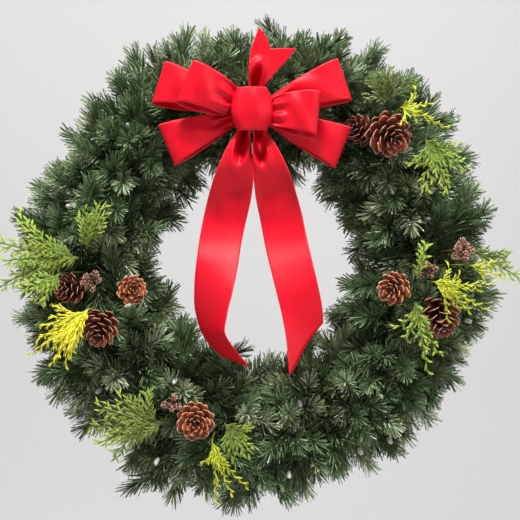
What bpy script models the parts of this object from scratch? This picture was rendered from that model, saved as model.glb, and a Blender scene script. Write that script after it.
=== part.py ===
"""A 30 inch evergreen wreath on a clamp-wire ring, with cones, cedar, golden cypress, mini lights and a bow.

Run with: blender --background --python part.py

Units are metres, +Z is up and +X is to the right as one faces the wreath. The wall is the plane y = 0
and the wreath stands in front of it, towards -Y. The origin is the nail that the wire hanger hangs on.
A place on the wreath is given from the ring's centre: an angle in degrees (0 at the right, 90 at the
top) with a radius, or an x and a height, and in both cases a depth, its distance in front of the wall.
"""

import math
import random
from dataclasses import dataclass

import bmesh
import bpy
import numpy as np
from mathutils import Matrix, Vector
from mathutils.bvhtree import BVHTree

# ---------------------------------------------------------------- driving dimensions
RING_BELOW_NAIL = 0.280  # centre of the ring under the nail
RING_RADIUS = 0.250
RING_WIRE = 0.0019  # radius of the ring's wire
CLAMP_WIRE = 0.0015
TOUCH_GAP = 0.0003  # left between pieces that touch

BUNCHES = 18
SECTOR = 360 / BUNCHES  # degrees of the ring that one bunch covers
BUNDLE_RADIUS = 0.0085  # the tied stems of a bunch
BUNDLE_DEPTH = 0.0345
BUNDLE_GAP = 1.9  # degrees left free at each end of a bundle
RING_DEPTH = BUNDLE_DEPTH - BUNDLE_RADIUS - RING_WIRE - TOUCH_GAP
CLAMP_RADIUS = 0.0120
CLAMP_ROLL = 13  # degrees, so that its corners miss the ring's
HANGER_WIRE = 0.0011
HANGER_LEG = 0.0022  # half the gap between the hanger's legs at the ring
HANGER_SHIFT = 0.0040  # how far its foot lies to the right of the nail
TIE_WIRE = 0.0010
TIE_SPREAD = 0.006  # half the gap between the tie's ends at the knot
TIE_CLEAR = 0.012  # how far in front of the bundles' middle the tie starts to close in
RING_SIDES = 36
RING_SAG = RING_RADIUS * (1 - math.cos(math.pi / RING_SIDES))  # how far a straight side cuts in
RING_TURN = 3.3  # degrees, so that no clamp crosses the ring at one of its corners

OUTER_RADIUS = 0.374  # mean reach of the needles, outwards
OUTER_SWELL = 0.017  # the wreath is fuller low on its left
OUTER_SWELL_ANGLE = 215
INNER_RADIUS = 0.134
FRONT_DEPTH = 0.150
WALL_CLEARANCE = 0.006

NEEDLE_LENGTH = 0.029
NEEDLE_LEAN = math.radians(48)  # from the twig
NEEDLE_FAN = math.radians(30)
NEEDLE_REACH = 0.023  # what a twig's last needles add to its length
WHORLS = ((0.46, 0.71, 0.96), (0.62, 0.94))  # where the whorls sit along a long and a short-needled twig
WHORL_HEIGHT = 0.0032
TWIG_RADII = (0.0026, 0.0017)
SPRAY_SEED = 7

RIBBON = 0.0635  # a 2.5 inch ribbon
RIBBON_THICKNESS = 0.0009
BLADE_THICKNESS = 0.0008
PICK_RADIUS = 0.0011

# ---------------------------------------------------------------- finishes: colour, roughness, metallic
FINISHES = {
    "fir_needles": ((0.022, 0.060, 0.026), 0.55, 0.0),
    "cedar_green": ((0.110, 0.235, 0.045), 0.60, 0.0),
    "golden_cypress": ((0.560, 0.560, 0.050), 0.55, 0.0),
    "cone_scales": ((0.170, 0.060, 0.028), 0.60, 0.0),
    "seed_husk": ((0.230, 0.130, 0.060), 0.75, 0.0),
    "bow_satin": ((0.760, 0.008, 0.012), 0.38, 0.0),
    "green_wire": ((0.025, 0.085, 0.035), 0.45, 0.6),
    "tie_wire": ((0.420, 0.420, 0.420), 0.40, 1.0),
    "light_cord": ((0.030, 0.110, 0.045), 0.50, 0.0),
}


@dataclass(frozen=True)
class Cone:
    """A pine cone: where its middle is, which way its tip points, and its size."""

    x: float
    height: float
    depth: float
    tip: tuple
    length: float
    radius: float


@dataclass(frozen=True)
class Frond:
    """A flat spray from a root to a tip, with leaflets on both sides of its rib."""

    name: str
    root: tuple  # x, height, depth
    tip: tuple
    half_width: float
    leaflets: int
    leaflet_angle: float
    broad: bool  # cedar, whose leaflets fill their side of the rib, or cypress with narrow ones and gaps
    arch: float = 0.012

    @property
    def finish(self):
        return "cedar_green" if self.broad else "golden_cypress"


CONES = (
    Cone(0.1900, 0.1830, 0.160, (0.30, 0.88, -0.35), 0.058, 0.0315),
    Cone(0.1480, 0.1950, 0.122, (-0.55, 0.75, 0.30), 0.050, 0.0215),
    Cone(-0.2790, -0.0400, 0.137, (-0.62, 0.70, 0.05), 0.048, 0.0220),
    Cone(-0.2320, -0.0990, 0.152, (-0.10, 0.85, -0.48), 0.056, 0.0265),
    Cone(-0.1850, -0.0420, 0.148, (0.25, 0.95, 0.10), 0.040, 0.0210),
    Cone(-0.0930, -0.2340, 0.152, (0.05, 0.98, -0.10), 0.050, 0.0268),
    Cone(0.1960, -0.0410, 0.150, (-0.45, 0.85, -0.10), 0.044, 0.0235),
    Cone(0.2640, -0.0830, 0.148, (0.12, 0.62, -0.72), 0.060, 0.0290),
)

FRONDS = (
    Frond("cedar_left_fan", (-0.262, 0.004, 0.160), (-0.372, 0.030, 0.150), 0.034, 8, 38, True),
    Frond("cedar_left_low", (-0.285, -0.018, 0.182), (-0.358, -0.050, 0.168), 0.016, 6, 40, True),
    Frond("cedar_left_upright", (-0.250, 0.018, 0.158), (-0.222, 0.078, 0.160), 0.018, 6, 32, True),
    Frond("cedar_top_right", (0.243, 0.176, 0.158), (0.256, 0.098, 0.158), 0.034, 7, 40, True),
    Frond("cedar_top_olive", (0.190, 0.232, 0.142), (0.172, 0.284, 0.138), 0.020, 5, 38, True),
    Frond("cedar_bottom_left", (-0.140, -0.236, 0.158), (-0.238, -0.242, 0.148), 0.030, 8, 40, True),
    Frond("cedar_bottom_small", (-0.050, -0.236, 0.156), (-0.014, -0.280, 0.150), 0.015, 5, 38, True),
    Frond("cedar_right_long", (0.226, -0.060, 0.172), (0.248, -0.186, 0.160), 0.024, 9, 36, True),
    Frond("cedar_right_sprig", (0.2285, -0.026, 0.166), (0.2395, 0.024, 0.160), 0.007, 5, 34, True),
    Frond("cedar_far_right", (0.312, 0.014, 0.136), (0.378, -0.018, 0.128), 0.013, 6, 34, True),
    Frond("cypress_left", (-0.246, -0.070, 0.176), (-0.308, -0.150, 0.158), 0.032, 8, 24, False),
    Frond("cypress_top_right", (0.205, 0.222, 0.172), (0.268, 0.188, 0.160), 0.020, 6, 26, False),
    Frond("cypress_bottom", (-0.068, -0.262, 0.164), (-0.040, -0.345, 0.152), 0.026, 7, 26, False),
    Frond("cypress_right", (0.252, -0.030, 0.178), (0.322, -0.066, 0.164), 0.028, 7, 26, False),
    Frond("cypress_far_right", (0.306, -0.006, 0.156), (0.350, -0.030, 0.150), 0.014, 5, 28, False),
)

SEED_CLUSTERS = (
    (-0.244, -0.028, 0.150),
    (-0.128, -0.206, 0.156),
    (0.290, 0.016, 0.156),
    (0.243, -0.012, 0.146),
)
HUSKS = 4
HUSK_SIZE = (0.0036, 0.0070)  # half its width and half its length
HUSK_OUT = 0.0068  # from the cluster's middle to a husk's

# Each lamp: angle and radius where it shows, and its depth.
LAMPS = (
    (164, 0.286, 0.120), (134, 0.272, 0.118), (199, 0.200, 0.112), (235, 0.212, 0.118), (286, 0.214, 0.120),
    (278, 0.315, 0.110), (298, 0.315, 0.108), (306, 0.326, 0.100), (312, 0.262, 0.124), (325, 0.330, 0.104),
    (344, 0.318, 0.108), (14, 0.250, 0.126), (57, 0.325, 0.104), (243, 0.330, 0.104), (219, 0.300, 0.118),
)
LAMP_RADIUS = 0.0030
LAMP_LENGTH = 0.030
LAMP_LEAN = 0.35  # outwards
LAMP_OUTLINE = ((0.06, 0.0030), (0.60, 0.0028), (1.0, 0.0006))  # share of its length, radius
LEAD_RADIUS = 0.0009
LIGHT_CORD_RADIUS = 0.0012
LIGHT_CORD_ENDS = 8  # degrees at the top that the cord leaves free, between its two end sockets
LIGHT_CORD_RING = 0.2660
LIGHT_CORD_DEPTH = 0.0150
CORD_STEP = 22  # degrees between the cord's points, at most

# ---------------------------------------------------------------- the bow
KNOT = (-0.010, 0.218, 0.186)  # x, height and depth of its middle
KNOT_SIZE = (0.062, 0.040, 0.062)
TIE_ANGLE = 90.55  # where the tie passes round the ring


@dataclass(frozen=True)
class BowLoop:
    """A loop of the bow: its direction, how far it runs from the knot's middle, and its depth."""

    name: str
    angle: float
    root: float
    root_half_width: float
    reach: float
    root_depth: float
    tip_depth: float
    bulge: float


BOW_LOOPS = (
    BowLoop("bow_loop_upper_left", 163, 0.022, 0.0068, 0.143, 0.158, 0.150, 0.0125),
    BowLoop("bow_loop_front_left", 158, 0.0388, 0.0125, 0.104, 0.184, 0.192, 0.0120),
    BowLoop("bow_loop_lower_left", 202, 0.022, 0.0068, 0.134, 0.158, 0.156, 0.0135),
    BowLoop("bow_loop_upper_right", 19, 0.022, 0.0068, 0.143, 0.158, 0.150, 0.0125),
    BowLoop("bow_loop_front_right", -5, 0.0355, 0.0125, 0.096, 0.184, 0.193, 0.0120),
    BowLoop("bow_loop_lower_right", -22, 0.022, 0.0068, 0.143, 0.158, 0.152, 0.0130),
)
LOOP_ROOT_GAP = 0.0016

# The hanging ends: x, height, depth, half width and turn about their length, in degrees.
TAIL_LEFT = (
    (-0.0175, 0.1973, 0.158, 0.0068, 0),
    (-0.0225, 0.1830, 0.160, 0.0105, -2),
    (-0.0290, 0.1580, 0.165, 0.0185, -6),
    (-0.0355, 0.1250, 0.164, 0.0262, -8),
    (-0.0490, 0.0650, 0.158, 0.0312, 4),
    (-0.0600, 0.0000, 0.156, 0.0312, 10),
    (-0.0680, -0.0500, 0.156, 0.0312, 28),
    (-0.0690, -0.0880, 0.156, 0.0312, 46),
    (-0.0560, -0.1220, 0.158, 0.0300, 60),
    (-0.0280, -0.1560, 0.160, 0.0200, 66),
)
TAIL_RIGHT = (
    (-0.0025, 0.1973, 0.158, 0.0068, 0),
    (0.0025, 0.1830, 0.158, 0.0105, 2),
    (0.0095, 0.1580, 0.158, 0.0180, 6),
    (0.0185, 0.1250, 0.156, 0.0245, 8),
    (0.0320, 0.0650, 0.154, 0.0305, 4),
    (0.0460, 0.0000, 0.156, 0.0312, -4),
    (0.0600, -0.0500, 0.156, 0.0312, -18),
    (0.0690, -0.0880, 0.156, 0.0300, -38),
    (0.0640, -0.1220, 0.158, 0.0270, -44),
    (0.0480, -0.1560, 0.160, 0.0130, -44),
)
TOP_END = (
    (-0.0062, 0.2397, 0.158, 0.0068, 0),
    (-0.0035, 0.2550, 0.162, 0.0115, 0),
    (0.0020, 0.2730, 0.166, 0.0180, 0),
    (0.0120, 0.2960, 0.168, 0.0260, 0),
    (0.0270, 0.3220, 0.170, 0.0315, 0),
)


# ---------------------------------------------------------------- places
def place(x, height, depth):
    """The point at x and height from the ring's centre, this far in front of the wall."""
    return Vector((x, -depth, height - RING_BELOW_NAIL))


def ring_place(angle, radius, depth):
    turn = math.radians(angle)
    return place(radius * math.cos(turn), radius * math.sin(turn), depth)


def radial(angle):
    turn = math.radians(angle)
    return Vector((math.cos(turn), 0, math.sin(turn)))


def sector_angle(index):
    """The middle of a bunch's sector. The first boundary is at the top, where the bow's tie passes."""
    return 90 + SECTOR * (index + 0.5)


def on_bundle(point, gap=TOUCH_GAP):
    """The place on a bundle's surface that is nearest to a point, and a touching gap off it."""
    angle = math.degrees(math.atan2(point.z + RING_BELOW_NAIL, point.x))
    index = math.floor((angle - 90) / SECTOR)
    middle = sector_angle(index)
    reach = SECTOR / 2 - BUNDLE_GAP - 0.6
    angle = max(middle - reach, min(middle + reach, angle))
    centre = ring_place(angle, RING_RADIUS, BUNDLE_DEPTH)
    away = (point - centre).normalized()
    return centre + away * (BUNDLE_RADIUS + gap)


# ---------------------------------------------------------------- scene and meshes
def clear_scene():
    for obj in list(bpy.data.objects):
        bpy.data.objects.remove(obj, do_unlink=True)


def finish_material(name):
    material = bpy.data.materials.get(name)
    if material is None:
        colour, roughness, metallic = FINISHES[name]
        material = bpy.data.materials.new(name)
        material.use_nodes = True
        shader = material.node_tree.nodes["Principled BSDF"]
        shader.inputs["Base Color"].default_value = (*colour, 1)
        shader.inputs["Roughness"].default_value = roughness
        shader.inputs["Metallic"].default_value = metallic
    return material


def new_object(name, mesh, collection, finish=None):
    obj = bpy.data.objects.new(name, mesh)
    collection.objects.link(obj)
    if finish:
        mesh.materials.clear()
        mesh.materials.append(finish_material(finish))
    return obj


def mesh_from(bm, name):
    mesh = bpy.data.meshes.new(name)
    bm.to_mesh(mesh)
    bm.free()
    return mesh


def baked(obj):
    """The object's mesh with its modifiers applied."""
    bpy.context.view_layer.update()
    graph = bpy.context.evaluated_depsgraph_get()
    mesh = bpy.data.meshes.new_from_object(obj.evaluated_get(graph))
    mesh.transform(obj.matrix_world)
    return mesh


def united(name, meshes, collection, finish):
    """One node from closed meshes that run into each other: one union on a collection of them."""
    others = bpy.data.collections.new(name + "_joined")
    bpy.context.scene.collection.children.link(others)
    base = new_object(name + "_base", meshes[0], others)
    others.objects.unlink(base)
    bpy.context.scene.collection.objects.link(base)
    for index, mesh in enumerate(meshes[1:]):
        new_object(f"{name}_{index}", mesh, others)
    union = base.modifiers.new("union", "BOOLEAN")
    union.operation = "UNION"
    union.operand_type = "COLLECTION"
    union.collection = others
    union.solver = "EXACT"
    mesh = baked(base)
    for obj in [base, *others.objects]:
        bpy.data.objects.remove(obj, do_unlink=True)
    bpy.data.collections.remove(others)
    return new_object(name, mesh, collection, finish)


# ---------------------------------------------------------------- tubes grown along a path
def path_frames(points):
    """The direction at each point and two axes across it, carried along with no twist."""
    directions = []
    for index, _ in enumerate(points):
        before, after = points[max(index - 1, 0)], points[min(index + 1, len(points) - 1)]
        directions.append((after - before).normalized())
    across = directions[0].orthogonal().normalized()
    frames = []
    for direction in directions:
        across = (across - direction * across.dot(direction)).normalized()
        frames.append((direction, across, direction.cross(across)))
    return frames


def grow_tube(points, radii, sides=3, turns=None):
    """A closed tube through the points. It returns the mesh and, for each stretch, its side faces."""
    turns = turns or [0.0] * len(points)
    frames = path_frames(points)
    bm = bmesh.new()
    bmesh.ops.create_cone(bm, cap_ends=True, segments=sides, radius1=1, radius2=1, depth=1)
    heights = {face: face.calc_center_median().z for face in bm.faces}
    foot, cap = min(heights, key=heights.get), max(heights, key=heights.get)

    def set_ring(face, angles, index):
        _, across, up = frames[index]
        for vertex, angle in zip(face.verts, angles):
            angle += turns[index]
            offset = across * math.cos(angle) + up * math.sin(angle)
            vertex.co = points[index] + offset * radii[index]

    foot_angles = [math.atan2(v.co.y, v.co.x) for v in foot.verts]
    cap_angles = [math.atan2(v.co.y, v.co.x) for v in cap.verts]
    bands = [[face for face in bm.faces if face not in (foot, cap)]]
    set_ring(foot, foot_angles, 0)
    set_ring(cap, cap_angles, 1)
    for index in range(2, len(points)):
        known = set(bm.faces)
        cap = bmesh.ops.extrude_discrete_faces(bm, faces=[cap])["faces"][0]
        set_ring(cap, cap_angles, index)
        bands.append([face for face in bm.faces if face not in known and face is not cap])
    return bm, bands, cap


# ---------------------------------------------------------------- where the twigs of the bunches go
TWIG_STEPS = 6
TWIG_PLACES = (  # degrees along the sector, turn from outwards (0) by the front (90) to inwards, which whorls
    (-7.0, 24, 0),
    (-4.8, 138, 1),
    (-2.4, 76, 0),
    (1.8, 4, 1),
    (3.7, 104, 1),
    (5.5, 48, 1),
    (7.3, 172, 0),
)
TRIES = 40
FREE_TRIES = 10  # tries before a twig starts to give way to what is in front of it
SHORTEST = 0.48
TWIG_KEEP = 0.0085  # between the middles of two twigs
LOWEST_TWIG = 0.020  # depth of the twig that is nearest to the wall


def twig_length(turn, angle):
    """How long a twig is so that its needles reach the wreath's outline."""
    outline = OUTER_RADIUS + OUTER_SWELL * math.cos(math.radians(angle - OUTER_SWELL_ANGLE))
    side = outline - RING_RADIUS if math.cos(turn) > 0 else RING_RADIUS - INNER_RADIUS
    forward = FRONT_DEPTH - BUNDLE_DEPTH
    return side * math.cos(turn) ** 2 + forward * math.sin(turn) ** 2 - NEEDLE_REACH


def twig_points(angle, turn, lean, length, curl):
    out, front = radial(angle), Vector((0, -1, 0))
    along = out.cross(front)
    heading = (out * math.cos(turn) + front * math.sin(turn) + along * lean).normalized()
    root = ring_place(angle, RING_RADIUS, BUNDLE_DEPTH)
    side = (along * curl + front * 0.10 * math.sin(turn)).normalized() * abs(curl)
    steps = [index / TWIG_STEPS for index in range(TWIG_STEPS + 1)]
    return [root + heading * length * s + side * length * s * s for s in steps]


CONE_KEEP = 0.012  # what twigs leave free round a cone, and so on
PICK_KEEP = 0.0052
STEM_KEEP = 0.0055
FROND_KEEP = 0.010
CLUSTER_KEEP = 0.018
LEAD_KEEP = 0.0060
LAMP_KEEP = 0.0110
LOOP_KEEP = 0.026
RIBBON_KEEP = 0.018
TIE_KEEP = 0.010


def obstacles():
    """What the twigs keep clear of, as thick segments: starts, ends and the distances to keep."""
    found = []
    for cone in CONES:
        middle = place(cone.x, cone.height, cone.depth)
        found.append((middle, middle, cone.radius + CONE_KEEP))
        found.append((middle, on_bundle(middle), PICK_KEEP))
    for frond in FRONDS:
        root, tip = place(*frond.root), place(*frond.tip)
        found.append((root, tip, FROND_KEEP + 0.45 * frond.half_width))
        found.append((on_bundle(root), root, STEM_KEEP))
    for cluster in SEED_CLUSTERS:
        middle = place(*cluster)
        found.append((middle, middle, CLUSTER_KEEP))
        found.append((on_bundle(middle), middle, PICK_KEEP))
    for angle, radius, depth in LAMPS:
        lead, tip = lamp_points(angle, radius, depth)
        found += [(start, end, LEAD_KEEP) for start, end in zip(lead, lead[1:])]
        found.append((lead[-1], tip, LAMP_KEEP))
    knot = place(*KNOT)
    for loop in BOW_LOOPS:
        root = place(KNOT[0], KNOT[1], loop.root_depth)
        tip = place(KNOT[0], KNOT[1], loop.tip_depth) + radial(loop.angle) * loop.reach
        side = radial(loop.angle + 90) * 0.020
        found += [(root, tip + side * share, LOOP_KEEP) for share in (-1, 0, 1)]
    for tail in (TAIL_LEFT, TAIL_RIGHT, TOP_END):
        for before, after in zip(tail, tail[1:]):
            side = Vector((before[3] * 0.6, 0, 0))
            start, end = place(*before[:3]), place(*after[:3])
            found += [(start + side * edge, end + side * edge, RIBBON_KEEP) for edge in (-1, 1)]
    found.append((knot, ring_place(TIE_ANGLE, RING_RADIUS, RING_DEPTH), TIE_KEEP))
    starts, ends, keeps = (np.array(column, float) for column in zip(*found))
    return starts, ends, keeps


def segment_distances(points, starts, ends):
    """The distance from each point to each segment."""
    spans = ends - starts
    lengths = np.maximum((spans ** 2).sum(axis=1), 1e-12)
    away = points[:, None, :] - starts[None]
    shares = np.clip((away * spans[None]).sum(axis=2) / lengths, 0, 1)
    return np.linalg.norm(away - shares[..., None] * spans[None], axis=2)


def twig_room(points, taken, same, blocks):
    """The least spare room at a twig's tip, or None where something is too close to the twig."""
    ends = [*points, points[-1] + (points[-1] - points[-2]).normalized() * 0.012]
    fine = []
    for start, end in zip(ends, ends[1:]):
        fine += [start.lerp(end, share) for share in (0, 0.34, 0.67)]
    fine = np.array(fine[2:] + [ends[-1]], float)
    if (-fine[:, 1]).min() < LOWEST_TWIG:
        return None
    starts, stops, keeps = blocks
    if (segment_distances(fine, starts, stops) < keeps[None]).any():
        return None
    tip = np.array(points[-1], float)
    room = 1.0
    for others, first, skip in ((taken, 1, 2), (same, 2, 5)):
        for other in others:
            apart = float(np.linalg.norm(other[-1] - tip))
            if apart > 0.16:
                continue
            starts, stops = other[first:-1], other[first + 1:]
            if segment_distances(fine[skip:], starts, stops).min() < TWIG_KEEP:
                return None
            room = min(room, apart)
    return room


def bunch_layout():
    """The twigs of each bunch: for each place, the seeded try that is furthest from the other twigs."""
    draw = random.Random(SPRAY_SEED)
    blocks = obstacles()
    bunches = [[] for _ in range(BUNCHES)]
    taken = []
    for offset, turn_middle, whorls in TWIG_PLACES:
        for index in range(BUNCHES):
            mirrored = -1 if index % 2 else 1
            angle = sector_angle(index) + offset * mirrored
            same = [rows for _, rows in bunches[index]]
            others = [rows for owner, rows in taken if owner != index]
            best, best_room = None, 0.0
            for attempt in range(TRIES):
                late = max(0, attempt - FREE_TRIES) / (TRIES - FREE_TRIES)
                shrink = 1 - (1 - SHORTEST) * late
                spread = 8 + 26 * late
                turn = math.radians(turn_middle + draw.uniform(-spread, spread))
                lean = draw.uniform(-0.42, 0.42)
                length = twig_length(turn, angle) * shrink * draw.uniform(0.93, 1.04)
                points = twig_points(angle, turn, lean, length, draw.uniform(0.05, 0.20))
                room = twig_room(points, others, same, blocks)
                if room is not None and room * shrink > best_room:
                    best, best_room = points, room * shrink
            if best:
                rows = np.array(best, float)
                bunches[index].append(((best, WHORLS[whorls]), rows))
                taken.append((index, rows))
    return [[twig for twig, _ in twigs] for twigs in bunches]


# ---------------------------------------------------------------- needles
class Neighbours:
    """The surfaces that a needle has to stay clear of, each with its box."""

    def __init__(self):
        self.trees = []

    def add(self, owner, vertices, faces):
        low = Vector([min(v[i] for v in vertices) for i in range(3)])
        high = Vector([max(v[i] for v in vertices) for i in range(3)])
        self.trees.append((owner, BVHTree.FromPolygons(vertices, faces), low, high))

    def add_mesh(self, owner, mesh):
        vertices = [v.co.copy() for v in mesh.vertices]
        self.add(owner, vertices, [tuple(p.vertices) for p in mesh.polygons])

    def near(self, low, high, margin, leave_out):
        spread = Vector((margin, margin, margin))
        low, high = low - spread, high + spread
        return [
            tree
            for owner, tree, tree_low, tree_high in self.trees
            if owner not in leave_out
            and all(tree_low[i] <= high[i] and tree_high[i] >= low[i] for i in range(3))
        ]


NEEDLE_CHECKS = 9
NEEDLE_KEEP = 0.0021
NEEDLE_TRIES = (  # shares of its lean and its length
    (1.0, 1.0),
    (0.7, 1.0),
    (1.3, 1.0),
    (0.4, 1.0),
    (1.0, 0.75),
    (0.6, 0.7),
    (0.8, 0.5),
    (0.3, 0.6),
)


def is_clear(start, end, trees):
    if -end.y < WALL_CLEARANCE:
        return False
    for step in range(1, NEEDLE_CHECKS + 1):
        point = start.lerp(end, step / NEEDLE_CHECKS)
        if any(tree.find_nearest(point, NEEDLE_KEEP)[0] is not None for tree in trees):
            return False
    return True


def raise_needles(bm, face, direction, sideways, trees):
    """Draws one triangle out to a needle, bent or shortened until it is clear of its neighbours."""
    middle, normal = face.calc_center_median(), face.normal.copy()
    side = direction.cross(normal).normalized() * sideways
    for lean_share, length_share in NEEDLE_TRIES:
        lean = NEEDLE_LEAN * lean_share
        outward = normal * math.cos(NEEDLE_FAN) + side * math.sin(NEEDLE_FAN)
        heading = direction * math.cos(lean) + outward * math.sin(lean)
        tip = middle + heading.normalized() * NEEDLE_LENGTH * length_share
        if is_clear(middle, tip, trees):
            bmesh.ops.poke(bm, faces=[face])["verts"][0].co = tip
            return True
    return False


def twig_stations(points, whorls):
    """The middles and radii of a twig's rings: its root, then the foot and the top of each whorl."""
    length = sum((b - a).length for a, b in zip(points, points[1:]))

    def at(distance):
        share = max(0.0, min(1.0, distance / length)) * TWIG_STEPS
        step = min(int(share), TWIG_STEPS - 1)
        return points[step].lerp(points[step + 1], share - step)

    stops = [0.0]
    for whorl in whorls:
        stops += [whorl * length - WHORL_HEIGHT, whorl * length]
    radii = [TWIG_RADII[0] + (TWIG_RADII[1] - TWIG_RADII[0]) * stop / length for stop in stops]
    return [at(stop) for stop in stops], radii


def spray_mesh(twig, neighbours, leave_out, draw):
    """One twig with its whorls of needles and the needle at its tip."""
    stations, radii = twig_stations(*twig)
    start = draw.uniform(0, math.tau)
    turns = [start + math.radians(20) * (index // 2) for index in range(len(stations))]
    bm, bands, cap = grow_tube(stations, radii, turns=turns)
    low = Vector([min(p[i] for p in stations) for i in range(3)])
    high = Vector([max(p[i] for p in stations) for i in range(3)])
    trees = neighbours.near(low, high, NEEDLE_LENGTH, leave_out)
    for index in range(1, len(stations) - 1, 2):
        direction = (stations[index + 1] - stations[index]).normalized()
        halves = bmesh.ops.triangulate(bm, faces=bands[index])["faces"]
        bm.normal_update()
        centre = (stations[index] + stations[index + 1]) / 2
        for face in halves:
            away = face.calc_center_median() - centre
            sideways = 1 if direction.cross(face.normal).dot(away) > 0 else -1
            raise_needles(bm, face, direction, sideways, trees)
    direction = (stations[-1] - stations[-2]).normalized()
    bm.normal_update()
    raise_needles(bm, cap, direction, 0, trees)
    bmesh.ops.triangulate(bm, faces=bm.faces[:])
    return mesh_from(bm, "spray")


def bundle_mesh(index):
    """The tied stems of a bunch, as a short arc in front of the ring."""
    middle, reach = sector_angle(index), SECTOR / 2 - BUNDLE_GAP
    points = [ring_place(middle + reach * share, RING_RADIUS, BUNDLE_DEPTH) for share in (-1, 0, 1)]
    bm, _, _ = grow_tube(points, [BUNDLE_RADIUS] * len(points), sides=6)
    bmesh.ops.triangulate(bm, faces=bm.faces[:])
    return mesh_from(bm, "bundle")


def build_bunches(collection, neighbours):
    layout = bunch_layout()
    draw = random.Random(SPRAY_SEED + 1)
    for index, twigs in enumerate(layout):
        for number, twig in enumerate(twigs):
            stations, radii = twig_stations(*twig)
            bm, _, _ = grow_tube(stations, radii)
            mesh = mesh_from(bm, "bare")
            neighbours.add_mesh(("twig", index, number), mesh)
            bpy.data.meshes.remove(mesh)
        mesh = bundle_mesh(index)
        neighbours.add_mesh(("bundle", index), mesh)
        bpy.data.meshes.remove(mesh)
    for index, twigs in enumerate(layout):
        meshes = [bundle_mesh(index)]
        for number, twig in enumerate(twigs):
            mesh = spray_mesh(twig, neighbours, {("twig", index, number)}, draw)
            neighbours.add_mesh(("needles", index, number), mesh)
            meshes.append(mesh)
        united(f"fir_bunch_{index + 1:02d}", meshes, collection, "fir_needles")


# ---------------------------------------------------------------- the wire ring and what hangs on it
def build_frame(collection):
    """The ring with one clamp round each bundle."""
    turned = Matrix.Rotation(math.pi / 2, 4, "X")
    bpy.ops.mesh.primitive_torus_add(
        major_radius=RING_RADIUS, minor_radius=RING_WIRE, major_segments=RING_SIDES, minor_segments=4
    )
    ring = bpy.context.object
    offset = Matrix.Rotation(math.radians(RING_TURN), 4, "Y")
    ring.matrix_world = Matrix.Translation(place(0, 0, RING_DEPTH)) @ offset @ turned
    meshes = [baked(ring)]
    bpy.data.objects.remove(ring, do_unlink=True)
    for index in range(BUNCHES):
        angle = sector_angle(index)
        bpy.ops.mesh.primitive_torus_add(
            major_radius=CLAMP_RADIUS, minor_radius=CLAMP_WIRE, major_segments=6, minor_segments=3
        )
        clamp = bpy.context.object
        along = radial(angle + 90)
        facing = along.to_track_quat("Z", "Y").to_matrix().to_4x4()
        rolled = facing @ Matrix.Rotation(math.radians(CLAMP_ROLL), 4, "Z")
        clamp.matrix_world = Matrix.Translation(ring_place(angle, RING_RADIUS, BUNDLE_DEPTH)) @ rolled
        meshes.append(baked(clamp))
        bpy.data.objects.remove(clamp, do_unlink=True)
    return united("wire_frame", meshes, collection, "green_wire")


def wire_curve(name, points, radius, collection, finish, cyclic=False, resolution=1):
    """A wire through the points, made a mesh with its caps welded."""
    data = bpy.data.curves.new(name + "_path", "CURVE")
    data.dimensions = "3D"
    data.bevel_depth = radius
    data.bevel_resolution = resolution
    data.use_fill_caps = True
    line = data.splines.new("POLY")
    line.points.add(len(points) - 1)
    for spot, point in zip(line.points, points):
        spot.co = (*point, 1)
    line.use_cyclic_u = cyclic
    guide = bpy.data.objects.new(name + "_path", data)
    bpy.context.scene.collection.objects.link(guide)
    mesh = baked(guide)
    bpy.data.objects.remove(guide, do_unlink=True)
    bm = bmesh.new()
    bm.from_mesh(mesh)
    bmesh.ops.remove_doubles(bm, verts=bm.verts[:], dist=1e-6)
    bm.to_mesh(mesh)
    bm.free()
    return new_object(name, mesh, collection, finish)


def build_hanger(collection):
    """A wire loop from the nail, down round the ring's wire at the top and back."""
    ring_top = place(0, RING_RADIUS - RING_SAG / 2, RING_DEPTH)
    wrap = RING_WIRE + HANGER_WIRE + TOUCH_GAP + RING_SAG
    half = [
        Vector((0.0030, -0.0028, 0.0036)),
        Vector((0.0078, -0.0032, -0.0010)),
        Vector((0.0078, -0.0070, -0.0110)),
        Vector((HANGER_LEG + 0.0028, ring_top.y + wrap + 0.0012, ring_top.z + 0.0050)),
        Vector((HANGER_LEG, ring_top.y + wrap, ring_top.z - 0.0010)),
        Vector((HANGER_LEG, ring_top.y + wrap * 0.3, ring_top.z - wrap - 0.0004)),
        Vector((HANGER_LEG, ring_top.y - wrap, ring_top.z - 0.0010)),
    ]
    shift = Vector((HANGER_SHIFT, 0, 0))
    other = [Vector((-p.x, p.y, p.z)) for p in reversed(half)]
    points = [p + shift * max(0.0, min(1.0, -p.z / 0.03)) for p in half + other]
    return wire_curve("hanger_loop", points, HANGER_WIRE, collection, "tie_wire", cyclic=True, resolution=0)


def build_tie(collection):
    """The wire that holds the bow: from the knot's back, round the ring's wire and back to the knot."""
    around = RING_WIRE + TIE_WIRE + TOUCH_GAP + RING_SAG
    knot_back = KNOT[2] - KNOT_SIZE[1] / 2 - TIE_WIRE - 0.0010
    points = [
        place(KNOT[0], KNOT[1] + TIE_SPREAD, knot_back),
        ring_place(TIE_ANGLE, RING_RADIUS + around, BUNDLE_DEPTH + TIE_CLEAR),
        ring_place(TIE_ANGLE, RING_RADIUS + around, RING_DEPTH),
        ring_place(TIE_ANGLE, RING_RADIUS, RING_DEPTH - around),
        ring_place(TIE_ANGLE, RING_RADIUS - around, RING_DEPTH),
        ring_place(TIE_ANGLE, RING_RADIUS - around, BUNDLE_DEPTH + TIE_CLEAR),
        place(KNOT[0], KNOT[1] - TIE_SPREAD, knot_back),
    ]
    return wire_curve("bow_tie", points, TIE_WIRE, collection, "tie_wire", resolution=0)


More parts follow.
